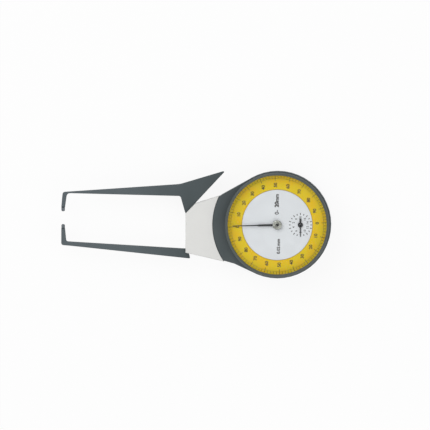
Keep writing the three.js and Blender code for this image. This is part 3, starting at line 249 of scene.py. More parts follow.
def linear(hex_code):
    """An sRGB hex colour as linear red, green, blue and alpha."""
    value = np.array([int(hex_code[i : i + 2], 16) for i in (0, 2, 4)]) / 255
    low, high = value / 12.92, ((value + 0.055) / 1.055) ** 2.4
    return (*np.where(value <= 0.04045, low, high).tolist(), 1.0)


def add(tree, kind, sockets=None, output=None, **settings):
    """One shader node with its settings; each socket gets a value or the output that feeds it.

    The node comes back, or its output of the given name or number.
    """
    node = tree.nodes.new(kind)
    for key, value in settings.items():
        setattr(node, key, value)
    for key, value in (sockets or {}).items():
        if isinstance(value, bpy.types.NodeSocket):
            tree.links.new(value, node.inputs[key])
        else:
            node.inputs[key].default_value = value
    return node if output is None else node.outputs[output]


def new_material(name):
    """An empty node material, its tree, and the object's own coordinates in metres."""
    material = bpy.data.materials.new(name)
    material.use_nodes = True
    tree = material.node_tree
    tree.nodes.clear()
    return material, tree, add(tree, "ShaderNodeTexCoord", output="Object")


def powder_coat(name, deep, pale, peel, roughness, paler_between=None):
    """Powder coat baked on metal: an even dark tone, a slight orange peel and a soft sheen.

    The peel's waves are peel millimetres wide and the tone drifts over 18 mm. The grains that
    vary the sheen are 0.25 mm, coarser than real powder, so that they show. A coat given two
    places along X, in millimetres, turns to its pale tone from the first to the second.
    """
    material, tree, place = new_material(name)
    waves = add(
        tree,
        "ShaderNodeTexNoise",
        {"Vector": place, "Scale": 1 / (peel * MM), "Detail": 2.0},
        "Fac",
    )
    clouds = add(tree, "ShaderNodeTexNoise", {"Vector": place, "Scale": 1 / (18 * MM)}, "Fac")
    grains = add(tree, "ShaderNodeTexNoise", {"Vector": place, "Scale": 1 / (0.25 * MM)}, "Fac")
    drift = add(
        tree, "ShaderNodeMapRange", {"Value": clouds, "From Min": 0.3, "From Max": 0.7}, "Result"
    )
    # Paler along X from the first place to the second.
    if paler_between:
        along = add(tree, "ShaderNodeSeparateXYZ", {"Vector": place}, "X")
        ends = {"From Min": paler_between[0] * MM, "From Max": paler_between[1] * MM, "To Max": 0.75}
        paler_share = add(tree, "ShaderNodeMapRange", {"Value": along, **ends}, "Result")
        drift = add(
            tree, "ShaderNodeMath", {0: drift, 1: 0.25, 2: paler_share}, "Value", operation="MULTIPLY_ADD"
        )
    tone = add(
        tree, "ShaderNodeMix", {0: drift, 6: linear(deep), 7: linear(pale)}, 2, data_type="RGBA"
    )
    sheen = add(
        tree,
        "ShaderNodeMapRange",
        {"Value": grains, "To Min": roughness - 0.1, "To Max": roughness + 0.12},
        "Result",
    )
    bumps = add(tree, "ShaderNodeBump", {"Height": waves, "Distance": 0.012 * MM}, "Normal")
    coat = add(
        tree,
        "ShaderNodeBsdfPrincipled",
        {
            "Base Color": tone,
            "Roughness": sheen,
            "Normal": bumps,
            "IOR": 1.5,
            "Specular IOR Level": 0.3,
        },
        "BSDF",
    )
    add(tree, "ShaderNodeOutputMaterial", {"Surface": coat})
    return material


def moulded_abs():
    """ABS from a spark-eroded mould: pale grey with a fine matte grain of pits 0.3 mm apart.

    The tone drifts over 25 mm, as the melt flowed.
    """
    material, tree, place = new_material("moulded_abs_pale_grey")
    pits = add(
        tree,
        "ShaderNodeTexNoise",
        {"Vector": place, "Scale": 1 / (0.3 * MM), "Detail": 2.0},
        "Fac",
    )
    flow = add(tree, "ShaderNodeTexNoise", {"Vector": place, "Scale": 1 / (25 * MM)}, "Fac")
    drift = add(
        tree, "ShaderNodeMapRange", {"Value": flow, "From Min": 0.3, "From Max": 0.7}, "Result"
    )
    tone = add(
        tree,
        "ShaderNodeMix",
        {0: drift, 6: linear("DEDEDC"), 7: linear("E4E4E1")},
        2,
        data_type="RGBA",
    )
    sheen = add(
        tree, "ShaderNodeMapRange", {"Value": pits, "To Min": 0.4, "To Max": 0.64}, "Result"
    )
    bumps = add(tree, "ShaderNodeBump", {"Height": pits, "Distance": 0.01 * MM}, "Normal")
    plastic = add(
        tree,
        "ShaderNodeBsdfPrincipled",
        {"Base Color": tone, "Roughness": sheen, "Normal": bumps, "IOR": 1.54},
        "BSDF",
    )
    add(tree, "ShaderNodeOutputMaterial", {"Surface": plastic})
    return material


def dial_lacquer(name, main, patch, patch_size):
    """Matte lacquer sprayed on a thin aluminium dial: flat colour with faint patches of film.

    The patches are patch_size millimetres across, the spray's grain 0.2 mm.
    """
    material, tree, place = new_material(name)
    film = add(
        tree,
        "ShaderNodeTexNoise",
        {"Vector": place, "Scale": 1 / (patch_size * MM), "Detail": 1.5},
        "Fac",
    )
    spray = add(tree, "ShaderNodeTexNoise", {"Vector": place, "Scale": 1 / (0.2 * MM)}, "Fac")
    share = add(
        tree, "ShaderNodeMapRange", {"Value": film, "From Min": 0.45, "From Max": 0.62}, "Result"
    )
    tone = add(
        tree, "ShaderNodeMix", {0: share, 6: linear(main), 7: linear(patch)}, 2, data_type="RGBA"
    )
    sheen = add(
        tree, "ShaderNodeMapRange", {"Value": spray, "To Min": 0.48, "To Max": 0.66}, "Result"
    )
    bumps = add(tree, "ShaderNodeBump", {"Height": spray, "Distance": 0.002 * MM}, "Normal")
    lacquer = add(
        tree,
        "ShaderNodeBsdfPrincipled",
        {
            "Base Color": tone,
            "Roughness": sheen,
            "Normal": bumps,
            "IOR": 1.5,
            "Specular IOR Level": 0.25,
        },
        "BSDF",
    )
    add(tree, "ShaderNodeOutputMaterial", {"Surface": lacquer})
    return material


def black_ink(name, thick, thin):
    """Pad-printing ink or hand lacquer: a dark film, a little paler where it lies thin.

    The thin patches are 0.6 mm across.
    """
    material, tree, place = new_material(name)
    film = add(
        tree,
        "ShaderNodeTexNoise",
        {"Vector": place, "Scale": 1 / (0.6 * MM), "Detail": 2.0},
        "Fac",
    )
    tone = add(
        tree, "ShaderNodeMix", {0: film, 6: linear(thick), 7: linear(thin)}, 2, data_type="RGBA"
    )
    sheen = add(
        tree, "ShaderNodeMapRange", {"Value": film, "To Min": 0.35, "To Max": 0.6}, "Result"
    )
    ink = add(
        tree,
        "ShaderNodeBsdfPrincipled",
        {"Base Color": tone, "Roughness": sheen, "IOR": 1.5, "Specular IOR Level": 0.3},
        "BSDF",
    )
    add(tree, "ShaderNodeOutputMaterial", {"Surface": ink})
    return material


def worked_metal(name, dark, bright, roughness, line, stretch):
    """Bare metal with the fine lines of its last tool, drawn wide enough to be seen.

    The lines are line millimetres wide and stretched along an axis by the factors.
    """
    material, tree, place = new_material(name)
    drawn = add(
        tree,
        "ShaderNodeMapping",
        {"Vector": place, "Scale": tuple(1 / factor for factor in stretch)},
        "Vector",
    )
    lines = add(
        tree,
        "ShaderNodeTexNoise",
        {"Vector": drawn, "Scale": 1 / (line * MM), "Detail": 2.0},
        "Fac",
    )
    film = add(tree, "ShaderNodeTexNoise", {"Vector": place, "Scale": 1 / (3 * MM)}, "Fac")
    tone = add(
        tree, "ShaderNodeMix", {0: film, 6: linear(dark), 7: linear(bright)}, 2, data_type="RGBA"
    )
    sheen = add(
        tree,
        "ShaderNodeMapRange",
        {"Value": lines, "To Min": roughness - 0.14, "To Max": roughness + 0.18},
        "Result",
    )
    bumps = add(tree, "ShaderNodeBump", {"Height": lines, "Distance": 0.003 * MM}, "Normal")
    metal = add(
        tree,
        "ShaderNodeBsdfPrincipled",
        {"Base Color": tone, "Metallic": 1.0, "Roughness": sheen, "Normal": bumps},
        "BSDF",
    )
    add(tree, "ShaderNodeOutputMaterial", {"Surface": metal})
    return material


def clear_acrylic():
    """Cast acrylic crystal, polished and bloomed against glare, so it shows hardly any sheen.

    Its IOR is lowered from 1.49 until it reflects as little as a bloomed one, and its haze varies
    over 6 mm. Light that reaches or leaves the matte dial passes straight through, as in life.
    """
    material, tree, place = new_material("cast_acrylic_crystal")
    haze = add(tree, "ShaderNodeTexNoise", {"Vector": place, "Scale": 1 / (6 * MM)}, "Fac")
    tone = add(
        tree,
        "ShaderNodeMix",
        {0: haze, 6: linear("FBFDFD"), 7: linear("FFFFFF")},
        2,
        data_type="RGBA",
    )
    sheen = add(
        tree, "ShaderNodeMapRange", {"Value": haze, "To Min": 0.0, "To Max": 0.04}, "Result"
    )
    acrylic = add(
        tree,
        "ShaderNodeBsdfPrincipled",
        {"Base Color": tone, "Roughness": sheen, "IOR": 1.15, "Transmission Weight": 1.0},
        "BSDF",
    )
    straight = add(tree, "ShaderNodeBsdfTransparent", output="BSDF")
    rays = add(tree, "ShaderNodeLightPath")
    matte = add(
        tree,
        "ShaderNodeMath",
        {0: rays.outputs["Is Shadow Ray"], 1: rays.outputs["Is Diffuse Ray"]},
        "Value",
        operation="MAXIMUM",
    )
    both = add(tree, "ShaderNodeMixShader", {0: matte, 1: acrylic, 2: straight}, "Shader")
    add(tree, "ShaderNodeOutputMaterial", {"Surface": both})
    return material


FINISHES = {
    "case_enamel": powder_coat("powder_coat_blue_grey", "454D4F", "4C5456", 1.1, 0.5),
    # The arms' coat turns paler from X = -56 mm toward the contacts at X = -96 mm.
    "arm_enamel": powder_coat(
        "powder_coat_dark_grey", "40494B", "576064", 1.4, 0.46, paler_between=(-56, -96)
    ),
    "neck_plastic": moulded_abs(),
    "steel": worked_metal("turned_nickel_plated_steel", "A9ABAE", "B9BBBE", 0.28, 0.12, (9, 1, 1)),
    "spring_steel": worked_metal("drawn_blued_steel", "4A5263", "5C6478", 0.3, 0.1, (1, 8, 1)),
    "hard_metal": worked_metal(
        "ground_tungsten_carbide", "5A6064", "62686C", 0.34, 0.32, (1, 1, 6)
    ),
    "brass": worked_metal("brushed_brass", "C9A55A", "D6B66C", 0.3, 0.16, (14, 1, 1)),
    "hand_black": black_ink("black_hand_lacquer", "202123", "2A2B2E"),
    "face_white": dial_lacquer("white_dial_lacquer", "E1E4E7", "E4E7EA", 9.0),
    "scale_yellow": dial_lacquer("yellow_dial_lacquer", "E5C71D", "EAC11A", 6.0),
    "crystal_clear": clear_acrylic(),
}
DIAL_INK = black_ink("dark_grey_dial_ink", "262421", "35322E")
# A paler, warmer copy of the case's powder coat for the bezel: painted light on its upturned top.
BEZEL_ENAMEL_PAINTED_LIGHT = powder_coat("powder_coat_bezel_painted_light", "4C5352", "535A58", 1.1, 0.5)
BOSS_STEEL = worked_metal("turned_oxidised_steel", "84857F", "989992", 0.3, 0.1, (1, 6, 1))
CAP_STEEL = worked_metal("turned_blackened_steel", "3E3F3D", "4C4D4A", 0.36, 0.1, (6, 1, 1))


def dress(name, shape, slot, body, *stands_for, material=None, even=True):
    """A new piece from its shape, with its slot's finish, on its body, in place of CAD nodes.

    A piece that bends between two bodies is given no body here.
    """
    obj = put_in_scene(name, *shape)
    obj.data.materials.append(material or FINISHES[slot])
    if even:
        # Large flat faces keep their own shading beside small rounded edges.
        normals = obj.modifiers.new("even_shading", "WEIGHTED_NORMAL")
        normals.keep_sharp = True
    if body:
        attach(obj, body)
    if stands_for:
        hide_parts(*stands_for)
    return obj


# Arms and contacts


TAPER_X = (-129.0, -75.0)
TAPER_HALF = (1.2, 2.4)
ARM_EDGE = 0.55


def arm_half(x):
    """Half an arm's thickness at x: thin at the jaw, full behind the shoulder, straight between."""
    return np.interp(x, TAPER_X, TAPER_HALF)


def with_breaks(path, breaks):
    """The closed path with a point added wherever it crosses one of the given x values."""
    following = np.roll(path, -1, axis=0)
    extra, at = [], []
    for x in breaks:
        crosses = np.nonzero((path[:, 0] - x) * (following[:, 0] - x) < 0)[0]
        share = (x - path[crosses, 0]) / (following[crosses, 0] - path[crosses, 0])
        extra.append(path[crosses] + (following[crosses] - path[crosses]) * share[:, None])
        at.append(crosses + share)
    order = np.argsort(np.concatenate([np.arange(len(path)), *at]), kind="stable")
    return np.concatenate([path, *extra])[order]


def arm_blade(path):
    """An arm: its outline between two faces that taper in x, each split where the taper changes."""
    path = with_breaks(path, TAPER_X)
    points, faces = slab(
        path, lambda x: ARM_MID_Z - arm_half(x), lambda x: ARM_MID_Z + arm_half(x), ARM_EDGE
    )
    front, back = faces.pop(), faces.pop()
    x = path[:, 0]
    edges = [-1e3, *TAPER_X, 1e3]
    for low, high in zip(edges[:-1], edges[1:]):
        inside = (x >= low - 1e-6) & (x <= high + 1e-6)
        faces.append([corner for corner, keep in zip(front, inside) if keep])
        faces.append([corner for corner, keep in zip(back, inside[::-1]) if keep])
    return points, faces


def contact(y_seat, sign):
    """A contact: a pin with a blunt domed end, turned about Y, from its seat toward the gap.

    The dome is a half ellipse, TIP_R wide and TIP_DOME high.
    """
    t = np.linspace(0, math.pi / 2, 9)[:-1]
    dome = TIP_LENGTH - TIP_DOME
    profile = [(0.5, 0), (TIP_R - 0.1, 0), (TIP_R, 0.1)]
    profile += [(TIP_R * math.cos(a), dome + TIP_DOME * math.sin(a)) for a in t]
    profile.append((0.06, TIP_LENGTH - 0.002))
    points, faces = turned(profile, sides=32, loop_rows=False)
    x, y, z = points.T
    placed = np.column_stack([x, sign * z, -sign * y])
    return placed + [CONTACT_X, y_seat, ARM_MID_Z], faces


FIXED_ARM = [
    (-135.85, -2.2),
    (-135.9, -12.95),
    (-130.4, -13.4),
    (-54.9, -21.3),
    (-55.9, -16.9),
    (-44.7, -16.9),
    (-44.7, -9.6),
    (-55.9, -9.6),
    (-55.9, -15.15),
    (-61.1, -14.9),
    (-132.75, -10.58),
    (-133.55, -2.2),
]
FIXED_ARM_ROUNDS = [0.3, 1.5, 1.0, 0.8, 0.3, 0.8, 0.8, 0.8, 0.3, 1.0, 1.2, 0.3]

MOVABLE_ARM = [
    (-135.85, 10.6),
    (-133.55, 10.6),
    (-132.3, 19.65),
    (-60.9, 17.9),
    (-57.8, 7.0),
    (-54.2, 1.5),
    (-53.5, -2.4),
    (-50.2, -6.3),
    (-46.1, -7.5),
    (-41.9, -6.3),
    (-38.9, -2.4),
    (-38.7, 1.6),
    (-39.72, 3.97),
    (-51.7, 13.4),
    (-33.4, 32.95),
    (-34.1, 33.5),
    (-61.3, 25.4),
    (-134.9, 20.4),
    (-135.35, 16.4),
]
MOVABLE_ARM_ROUNDS = [
    0.3, 0.3, 2.2, 1.2, 2.0, 1.5, 1.5, 1.5, 1.5, 1.5, 1.5, 1.0, 0.5, 0.8, 0.3, 0.3, 2.0, 1.4, 1.0,
]

dress(
    "fixed_arm_blade",
    arm_blade(rounded(FIXED_ARM, FIXED_ARM_ROUNDS)),
    "arm_enamel",
    "case",
    "fixed_arm",
)
dress(
    "movable_arm_blade",
    arm_blade(rounded(MOVABLE_ARM, MOVABLE_ARM_ROUNDS)),
    "arm_enamel",
    "arm",
    "movable_arm",
)
dress(
    "fixed_contact_dome",
    contact(CONTACT_Y - TIP_LENGTH, 1),
    "hard_metal",
    "case",
    "fixed_contact_tip",
)
dress(
    "movable_contact_dome",
    contact(CONTACT_Y + REST_GAP + TIP_LENGTH, -1),
    "hard_metal",
    "arm",
    "movable_contact_tip",
)

# Bezel, crystal and scale ring

RIDGES = 96
RIDGE_DEPTH = 0.2
GRIP_Z = (16.9, 21.9)
GRIP_FADE = 0.5
BEZEL_R = 32.7


def milled(a, z):
    """Depth of the milled grip: (half of 1 - cos of RIDGES a) to the power 0.7, fading at rims."""
    rims = np.clip((z - GRIP_Z[0]) / GRIP_FADE, 0, 1) * np.clip((GRIP_Z[1] - z) / GRIP_FADE, 0, 1)
    return RIDGE_DEPTH * rims * (0.5 - 0.5 * np.cos(RIDGES * a)) ** 0.7


# The points up the outer wall are the rows that the milled grip is cut into.
BEZEL = rounded(
    [
        (31.7, 16.1),
        (BEZEL_R, 16.1),
        (BEZEL_R, 16.7),
        (BEZEL_R, 17.2),
        (BEZEL_R, 17.6),
        (BEZEL_R, 19.4),
        (BEZEL_R, 21.2),
        (BEZEL_R, 21.6),
        (BEZEL_R, 22.1),
        (32.65, 22.5),
        (31.95, 23.9),
        (31.0, 23.9),
        (31.0, 23.1),
        (31.7, 23.1),
    ],
    [0.1, 0.25, 0.05, 0.05, 0.05, 0.05, 0.05, 0.05, 0.05, 0.25, 0.45, 0.3, 0.05, 0.1],
    steps=4,
)
# The bezel wears the paler copy of the case's coat, which paints light onto it.
dress(
    "bezel_ring",
    turned(BEZEL, sides=768, wave=milled),
    "case_enamel",
    "bezel",
    "bezel",
    material=BEZEL_ENAMEL_PAINTED_LIGHT,
)

CRYSTAL_R = 31.55
CRYSTAL_Z = (21.9, 23.08)
CRYSTAL = rounded(
    [
        (0.0, CRYSTAL_Z[0]),
        (CRYSTAL_R, CRYSTAL_Z[0]),
        (CRYSTAL_R, CRYSTAL_Z[1]),
        (0.0, CRYSTAL_Z[1]),
    ],
    [0.2, 0.1, 0.1, 0.2],
    steps=3,
)
CRYSTAL = CRYSTAL[CRYSTAL[:, 0] > 0.15]
dress("crystal_disc", turned(CRYSTAL, loop_rows=False), "crystal_clear", "bezel", "crystal")

RING = rounded(
    [
        (RING_INNER_R, RING_BACK_Z),
        (RING_OUTER_R, RING_BACK_Z),
        (RING_OUTER_R, RING_Z),
        (RING_INNER_R, RING_Z),
    ],
    0.12,
    steps=4,
)
dress("scale_ring_face", turned(RING, sides=180), "scale_yellow", "bezel", "scale_ring")


def ring_of_marks(count, zero_degrees, sense, inner, outer, width):
    """Radial marks at equal steps: mark i lies sense * i / count of a turn from the zero angle."""
    a = zero_degrees * DEGREE + sense * 2 * math.pi * np.arange(count) / count
    inner, outer = np.broadcast_to(inner, count), np.broadcast_to(outer, count)
    middle = (inner + outer) / 2
    centres = np.stack([middle * np.cos(a), middle * np.sin(a)], axis=1)
    return centres, a, outer - inner, np.broadcast_to(width, count)


# The bars reach from the ring's rim in to the base line, every fifth further, the zero furthest.
ZERO_ANGLE = 182.6
RING_MARKS = 100
MARK_OUTER_R = 30.95
BASE_LINE_R = 29.1
BASE_LINE_WIDTH = 0.1
NUMERALS = 20
NUMERAL_R = 25.0
NUMERAL_STEP = 360 / NUMERALS
mark = np.arange(RING_MARKS)
long_mark = mark % 5 == 0
inner = np.where(mark == 0, 26.5, np.where(long_mark, 27.7, BASE_LINE_R))
width = np.where(long_mark, 0.26, 0.17)
layout = ring_of_marks(RING_MARKS, ZERO_ANGLE, -1, inner, MARK_OUTER_R, width)
base_line = [
    (BASE_LINE_R - BASE_LINE_WIDTH, RING_Z),
    (BASE_LINE_R, RING_Z),
    (BASE_LINE_R, RING_Z + INK),
    (BASE_LINE_R - BASE_LINE_WIDTH, RING_Z + INK),
]
scale_print = merged([bars(*layout, RING_Z, RING_Z + INK), turned(base_line, sides=180)])
dress("scale_marks", scale_print, "scale_yellow", "bezel", material=DIAL_INK, even=False)

numerals = []
for step in range(NUMERALS):
    angle = (ZERO_ANGLE - NUMERAL_STEP * step) * DEGREE
    centre = (NUMERAL_R * math.cos(angle), NUMERAL_R * math.sin(angle))
    numerals.append(lettering(str(step % 10 * 10), 2.2, centre, RING_Z, bold=0.03))
numerals = merged(numerals)
dress("scale_numerals", numerals, "scale_yellow", "bezel", material=DIAL_INK, even=False)

# Dial face, its print and its hands

COUNTER_ZERO_ANGLE = 126.0
COUNTER_MARKS = 20
COUNTER_MARK_INNER_R = 6.2
COUNTER_NUMERAL_R = 4.6
outer = np.where(np.arange(COUNTER_MARKS) % 2 == 0, 7.45, 7.15)
centres, *layout = ring_of_marks(
    COUNTER_MARKS, COUNTER_ZERO_ANGLE, 1, COUNTER_MARK_INNER_R, outer, 0.48
)
counter_print = [bars(centres + [COUNTER_X, 0], *layout, FACE_Z, FACE_Z + INK)]
for step in range(0, COUNTER_MARKS, 2):
    angle = (COUNTER_ZERO_ANGLE + NUMERAL_STEP * step) * DEGREE
    across, up = COUNTER_NUMERAL_R * math.cos(angle), COUNTER_NUMERAL_R * math.sin(angle)
    numeral = lettering(str(step), 1.45, (COUNTER_X + across, up), FACE_Z, bold=0.01)
    counter_print.append(numeral)
counter_print = merged(counter_print)
dress("counter_scale_print", counter_print, "face_white", "case", material=DIAL_INK, even=False)
words = merged(
    [
        lettering("0-", 2.6, (-0.3, 7.9), FACE_Z, bold=0.02),
        lettering("20", 2.7, (-0.35, 12.8), FACE_Z, bold=0.05),
        lettering("mm", 1.7, (0.15, 16.9), FACE_Z, bold=0.04),
        lettering("0.02", 2.1, (0.7, -15.8), FACE_Z, bold=0.04),
        lettering("mm", 1.5, (1.0, -10.9), FACE_Z, bold=0.04),
    ]
)
dress("range_print", words, "face_white", "case", material=DIAL_INK, even=False)


def turn_about(points, degrees, centre=(0.0, 0.0)):
    """Points turned about an upright axis, counter-clockwise from the front, then moved to it."""
    cos, sin = math.cos(degrees * DEGREE), math.sin(degrees * DEGREE)
    x, y, z = points.T
    return np.column_stack([x * cos - y * sin + centre[0], x * sin + y * cos + centre[1], z])


NEEDLE_ANGLE = 181.4
NEEDLE_Z = (20.5, 20.75)
NEEDLE = rounded(
    [
        (-1.6, -1.4),
        (1.6, -0.74),
        (11.4, -0.62),
        (12.6, -0.4),
        (27.9, -0.24),
        (27.9, 0.24),
        (12.6, 0.4),
        (11.4, 0.62),
        (1.6, 0.74),
        (-1.6, 1.4),
    ],
    [0.5, 0.8, 0.3, 0.3, 0.05, 0.05, 0.3, 0.3, 0.8, 0.5],
    steps=4,
)
points, faces = slab(NEEDLE, *NEEDLE_Z, HAND_EDGE, steps=3)
needle = (turn_about(points, NEEDLE_ANGLE), faces)
dress("needle_blade", needle, "hand_black", "centre", "needle")

BOSS = rounded(
    [
        (0.0, 20.74),
        (2.9, 20.74),
        (2.9, 21.0),
        (2.35, 21.32),
        (1.5, 21.36),
        (1.3, 21.22),
        (0.0, 21.22),
    ],
    [0.3, 0.05, 0.15, 0.3, 0.1, 0.1, 0.3],
    steps=4,
)
BOSS = BOSS[BOSS[:, 0] > 0.25]
dress(
    "needle_boss",
    turned(BOSS, sides=96, loop_rows=False),
    "steel",
    "centre",
    "needle_hub",
    material=BOSS_STEEL,
)
CAP = rounded(
    [(0.0, 21.2), (1.1, 21.2), (1.1, 21.42), (0.0, 21.5)], [0.1, 0.05, 0.1, 0.1], steps=4
)
CAP = CAP[CAP[:, 0] > 0.08]
dress(
    "needle_cap_dome",
    turned(CAP, sides=48, loop_rows=False),
    "hard_metal",
    "centre",
    "needle_cap",
    material=CAP_STEEL,
)

POINTER_Z = (19.3, 19.6)
POINTER_HUB_R = 1.6
POINTER_HUB_Z = (19.3, 19.85)
POINTER = rounded(
    [
        (-0.55, 4.0),
        (-0.62, 0.0),
        (-0.34, -2.4),
        (-0.2, -7.2),
        (0.2, -7.2),
        (0.34, -2.4),
        (0.62, 0.0),
        (0.55, 4.0),
    ],
    [0.2, 0.4, 0.4, 0.05, 0.05, 0.4, 0.4, 0.2],
    steps=4,
)
POINTER_HUB = rounded(
    [
        (0.0, POINTER_HUB_Z[0]),
        (POINTER_HUB_R, POINTER_HUB_Z[0]),
        (POINTER_HUB_R, POINTER_HUB_Z[1]),
        (0.0, POINTER_HUB_Z[1]),
    ],
    [0.3, 0.05, 0.25, 0.3],
    steps=4,
)
pointer_hub = turned(POINTER_HUB[POINTER_HUB[:, 0] > 0.25], sides=64, loop_rows=False)
points, faces = merged([slab(POINTER, *POINTER_Z, HAND_EDGE, steps=3), pointer_hub])
placed = points + [COUNTER_X, 0, 0]
dress("counter_pointer", (placed, faces), "hand_black", "counter", "counter_hand")

# Closing spring, inside the housing

SPRING_X = -11.98
SPRING_Z = 6.6
ARM_PEG_Y = 0.9
CASE_PEG_Y = 19.4
HOOK_R = 1.1
COIL_R = 1.5
WIRE_R = 0.22
TURNS = 9


def spring_wire():
    """The closing spring: a round wire along a hook, a helix and a second hook.

    Each hook is three quarters of a circle about its peg. Along the helix, at share s of its
    length, the angle is turns * (2 pi s - sin 2 pi s), so the wire leaves the hooks straight, and
    the radius grows smoothly from the hooks' to the coil's. At path point P with direction D, the
    section is P + r (cos u N + sin u D x N), where N points away from the hook's or coil's axis.
    """
    a = np.linspace(0, 1.5 * math.pi, 19)
    flat = np.zeros_like(a)
    s = np.linspace(0, 1, 18 * TURNS)[1:-1]
    angle = TURNS * (2 * math.pi * s - np.sin(2 * math.pi * s))
    near = np.clip(6 * np.minimum(s, 1 - s), 0, 1)
    radius = HOOK_R + (COIL_R - HOOK_R) * near**2 * (3 - 2 * near)
    first = np.stack([np.cos(a - 1.5 * math.pi), np.sin(a - 1.5 * math.pi), flat], axis=1)
    middle = np.stack([np.cos(angle), np.zeros_like(s), np.sin(angle)], axis=1)
    last = np.stack([np.cos(a), np.sin(a), flat], axis=1)
    along = np.outer(ARM_PEG_Y + (CASE_PEG_Y - ARM_PEG_Y) * s, [0, 1, 0])
    path = np.concatenate(
        [
            first * HOOK_R + [0, ARM_PEG_Y, 0],
            middle * radius[:, None] + along,
            last * HOOK_R + [0, CASE_PEG_Y, 0],
        ]
    )
    direction = np.gradient(path, axis=0)
    direction /= np.linalg.norm(direction, axis=1, keepdims=True)
    side = np.cross(direction, np.concatenate([first, middle, last]))
    side /= np.linalg.norm(side, axis=1, keepdims=True)
    away = np.cross(side, direction)
    u = np.linspace(0, 2 * math.pi, 8, endpoint=False)[None, :, None]
    ring = np.cos(u) * away[:, None] + np.sin(u) * side[:, None]
    return skin(path[:, None] + WIRE_R * ring + [SPRING_X, 0, SPRING_Z])


spring = dress(
    "closing_spring_coil", spring_wire(), "spring_steel", None, "closing_spring", even=False
)
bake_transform(spring)

# Screws seen at the back

REAR_SCREW_CIRCLE_R = 27.4
NECK_SCREW_PLACES = ((-41.4, 12.6), (-41.5, -12.4), (-54.2, -6.0))
SLOT_DEPTH = 0.3


def slotted_head(x, y, radius, low, high, turn):
    """A cheese head: a round base and two half rounds below it, with the driving slot between."""
    floor_z = low + SLOT_DEPTH
    base = [(0.3, floor_z), (radius, floor_z), (radius, high), (0.3, high)]
    a = np.linspace(-74, 74, 15) * DEGREE
    half = np.stack([radius * np.cos(a), radius * np.sin(a)], axis=1)
    parts = [turned(base, sides=48, loop_rows=False)]
    for side in (0, 180):
        round_half = turn_about(np.column_stack([half, a]), side)[:, :2]
        parts.append(slab(round_half, low, floor_z + 0.05, 0.1, steps=4))
    points, faces = merged(parts)
    return turn_about(points, turn, (x, y)), faces


for number, degrees in enumerate((45, 135, 225, 315), start=1):
    x = REAR_SCREW_CIRCLE_R * math.cos(degrees * DEGREE)
    y = REAR_SCREW_CIRCLE_R * math.sin(degrees * DEGREE)
    head = slotted_head(x, y, 1.45, 0.15, 1.0, 20 + 37 * number)
    dress(f"rear_cover_screw_head_{number}", head, "steel", "case", f"rear_cover_screw_{number}")
for number, (x, y) in enumerate(NECK_SCREW_PLACES, start=1):
    head = slotted_head(x, y, 1.6, 0.2, 1.4, 50 + 41 * number)
    dress(f"neck_screw_head_{number}", head, "steel", "case", f"neck_screw_{number}")

# CAD nodes that stay


def smooth_group():
    """Joins a CAD node's loose triangles and shades it smooth, except at edges past CREASE."""
    tree = bpy.data.node_groups.new("joined_and_shaded", "GeometryNodeTree")
    tree.interface.new_socket("Geometry", in_out="INPUT", socket_type="NodeSocketGeometry")
    tree.interface.new_socket("Geometry", in_out="OUTPUT", socket_type="NodeSocketGeometry")
    loose = add(tree, "NodeGroupInput", output=0)
    joined = add(
        tree, "GeometryNodeMergeByDistance", {"Geometry": loose, "Distance": 1e-6}, "Geometry"
    )
    smooth = add(
        tree, "GeometryNodeSetShadeSmooth", {"Geometry": joined, "Shade Smooth": True}, "Geometry"
    )
    angle = add(tree, "GeometryNodeInputMeshEdgeAngle", output="Unsigned Angle")
    steep = add(
        tree,
        "FunctionNodeCompare",
        {"A": angle, "B": CREASE},
        "Result",
        data_type="FLOAT",
        operation="GREATER_THAN",
    )
    creased = add(
        tree,
        "GeometryNodeSetShadeSmooth",
        {"Geometry": smooth, "Selection": steep, "Shade Smooth": False},
        "Geometry",
        domain="EDGE",
    )
    add(tree, "NodeGroupOutput", {0: creased})
    return tree


SMOOTH = smooth_group()
BROKEN_EDGES = {
    "main_housing": 0.3,
    "neck_front_cover": 0.25,
    "neck_rear_cover": 0.25,
    "rear_cover": 0.15,
}
slot_of = {part["node"]: part["material_slot"] for part in frame["record"]["subparts"]}
for node, obj in frame["nodes"].items():
    obj.data.materials.clear()
    obj.data.materials.append(FINISHES[slot_of[node]])
    shading = obj.modifiers.new("joined_and_shaded", "NODES")
    shading.node_group = SMOOTH
    if node in BROKEN_EDGES:
        edge = obj.modifiers.new("broken_edges", "BEVEL")
        edge.width = BROKEN_EDGES[node] * MM
        edge.segments = 2
        edge.limit_method = "ANGLE"
        edge.angle_limit = 40 * DEGREE
        edge.harden_normals = True

# Floor, light and camera

WHITE = (1, 1, 1, 1)
PLAIN_SHARE = 0.89
FLOOR_REACH = 900
FLOOR_Z = -0.05


def seen_rays(tree):
    """1 for a ray from the camera, and for what metal and glass show of the background."""
    rays = add(tree, "ShaderNodeLightPath")
    mirrored = add(
        tree,
        "ShaderNodeMath",
        {0: rays.outputs["Is Glossy Ray"], 1: rays.outputs["Is Transmission Ray"]},
        "Value",
        operation="MAXIMUM",
    )
    return add(
        tree,
        "ShaderNodeMath",
        {0: rays.outputs["Is Camera Ray"], 1: mirrored},
        "Value",
        operation="MAXIMUM",
    )


def white_paper():
    """Matte white paper. PLAIN_SHARE of what is seen is plain white, the rest its own shading."""
    material, tree, place = new_material("matte_white_paper")
    fibres = add(tree, "ShaderNodeTexNoise", {"Vector": place, "Scale": 1 / (1.2 * MM)}, "Fac")
    tone = add(
        tree,
        "ShaderNodeMix",
        {0: fibres, 6: linear("F4F4F4"), 7: linear("F8F8F8")},
        2,
        data_type="RGBA",
    )
    paper = add(tree, "ShaderNodeBsdfDiffuse", {"Color": tone}, "BSDF")
    plain = add(tree, "ShaderNodeEmission", {"Color": WHITE, "Strength": 1.0}, "Emission")
    share = add(
        tree, "ShaderNodeMath", {0: seen_rays(tree), 1: PLAIN_SHARE}, "Value", operation="MULTIPLY"
    )
    sheet = add(tree, "ShaderNodeMixShader", {0: share, 1: paper, 2: plain}, "Shader")
    add(tree, "ShaderNodeOutputMaterial", {"Surface": sheet})
    return material


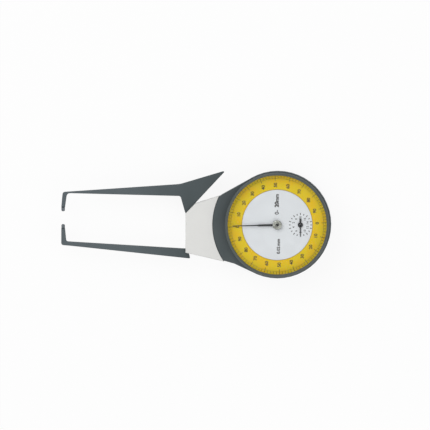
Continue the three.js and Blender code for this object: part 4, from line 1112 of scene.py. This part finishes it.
corners = FLOOR_REACH * np.array([[-1, -1], [1, -1], [1, 1], [-1, 1]])
floor = put_in_scene("floor", np.column_stack([corners, np.full(4, FLOOR_Z)]), [[0, 1, 2, 3]])
floor.data.materials.append(white_paper())

world = bpy.data.worlds.new("soft_studio")
bpy.context.scene.world = world
world.use_nodes = True
studio = world.node_tree
studio.nodes.clear()
lit = add(studio, "ShaderNodeBackground", {"Color": WHITE, "Strength": 0.55}, "Background")
seen = add(studio, "ShaderNodeBackground", {"Color": WHITE, "Strength": 1.0}, "Background")
chosen = add(studio, "ShaderNodeMixShader", {0: seen_rays(studio), 1: lit, 2: seen}, "Shader")
add(studio, "ShaderNodeOutputWorld", {"Surface": chosen})

NECK = (-0.04, 0.0, 0.0)


def softbox(name, watts, place):
    """A square area lamp, a metre wide, at a place in metres, its face turned to the neck."""
    lamp = bpy.data.lights.new(name, "AREA")
    lamp.size = 1.0
    lamp.energy = watts
    holder = bpy.data.objects.new(name, lamp)
    bpy.context.scene.collection.objects.link(holder)
    away = np.array(NECK) - np.array(place)
    pitch = math.atan2(math.hypot(away[0], away[1]), -away[2])
    holder.location = place
    holder.rotation_euler = (pitch, 0, math.atan2(away[1], away[0]) - math.pi / 2)


softbox("softbox_upper_left", 5.4, (-0.6, 0.55, 1.0))
softbox("softbox_lower_right", 3.8, (0.55, -0.5, 1.0))

# The photograph looks straight down, but for a slight tilt toward the dial's end and the lever's
# side. It is VIEW_WIDTH wide at the height of the arms, and its middle lies 39.3 mm from the dial
# axis along the gauge.
TILT = 1.5 * DEGREE
SIDE = 2.0 * DEGREE
DISTANCE = 3.0
VIEW_WIDTH = 0.2699
AIM = (-0.03930, 0.0060, 0.0105)
camera_data = bpy.data.cameras.new("camera")
camera_data.lens = camera_data.sensor_width * DISTANCE / VIEW_WIDTH
camera = bpy.data.objects.new("camera", camera_data)
bpy.context.scene.collection.objects.link(camera)
camera.location = (
    AIM[0] + DISTANCE * math.sin(SIDE),
    AIM[1] + DISTANCE * math.cos(SIDE) * math.sin(TILT),
    AIM[2] + DISTANCE * math.cos(SIDE) * math.cos(TILT),
)
camera.rotation_euler = (-TILT, SIDE, 0)
bpy.context.scene.camera = camera
bpy.context.scene.view_settings.view_transform = "Standard"
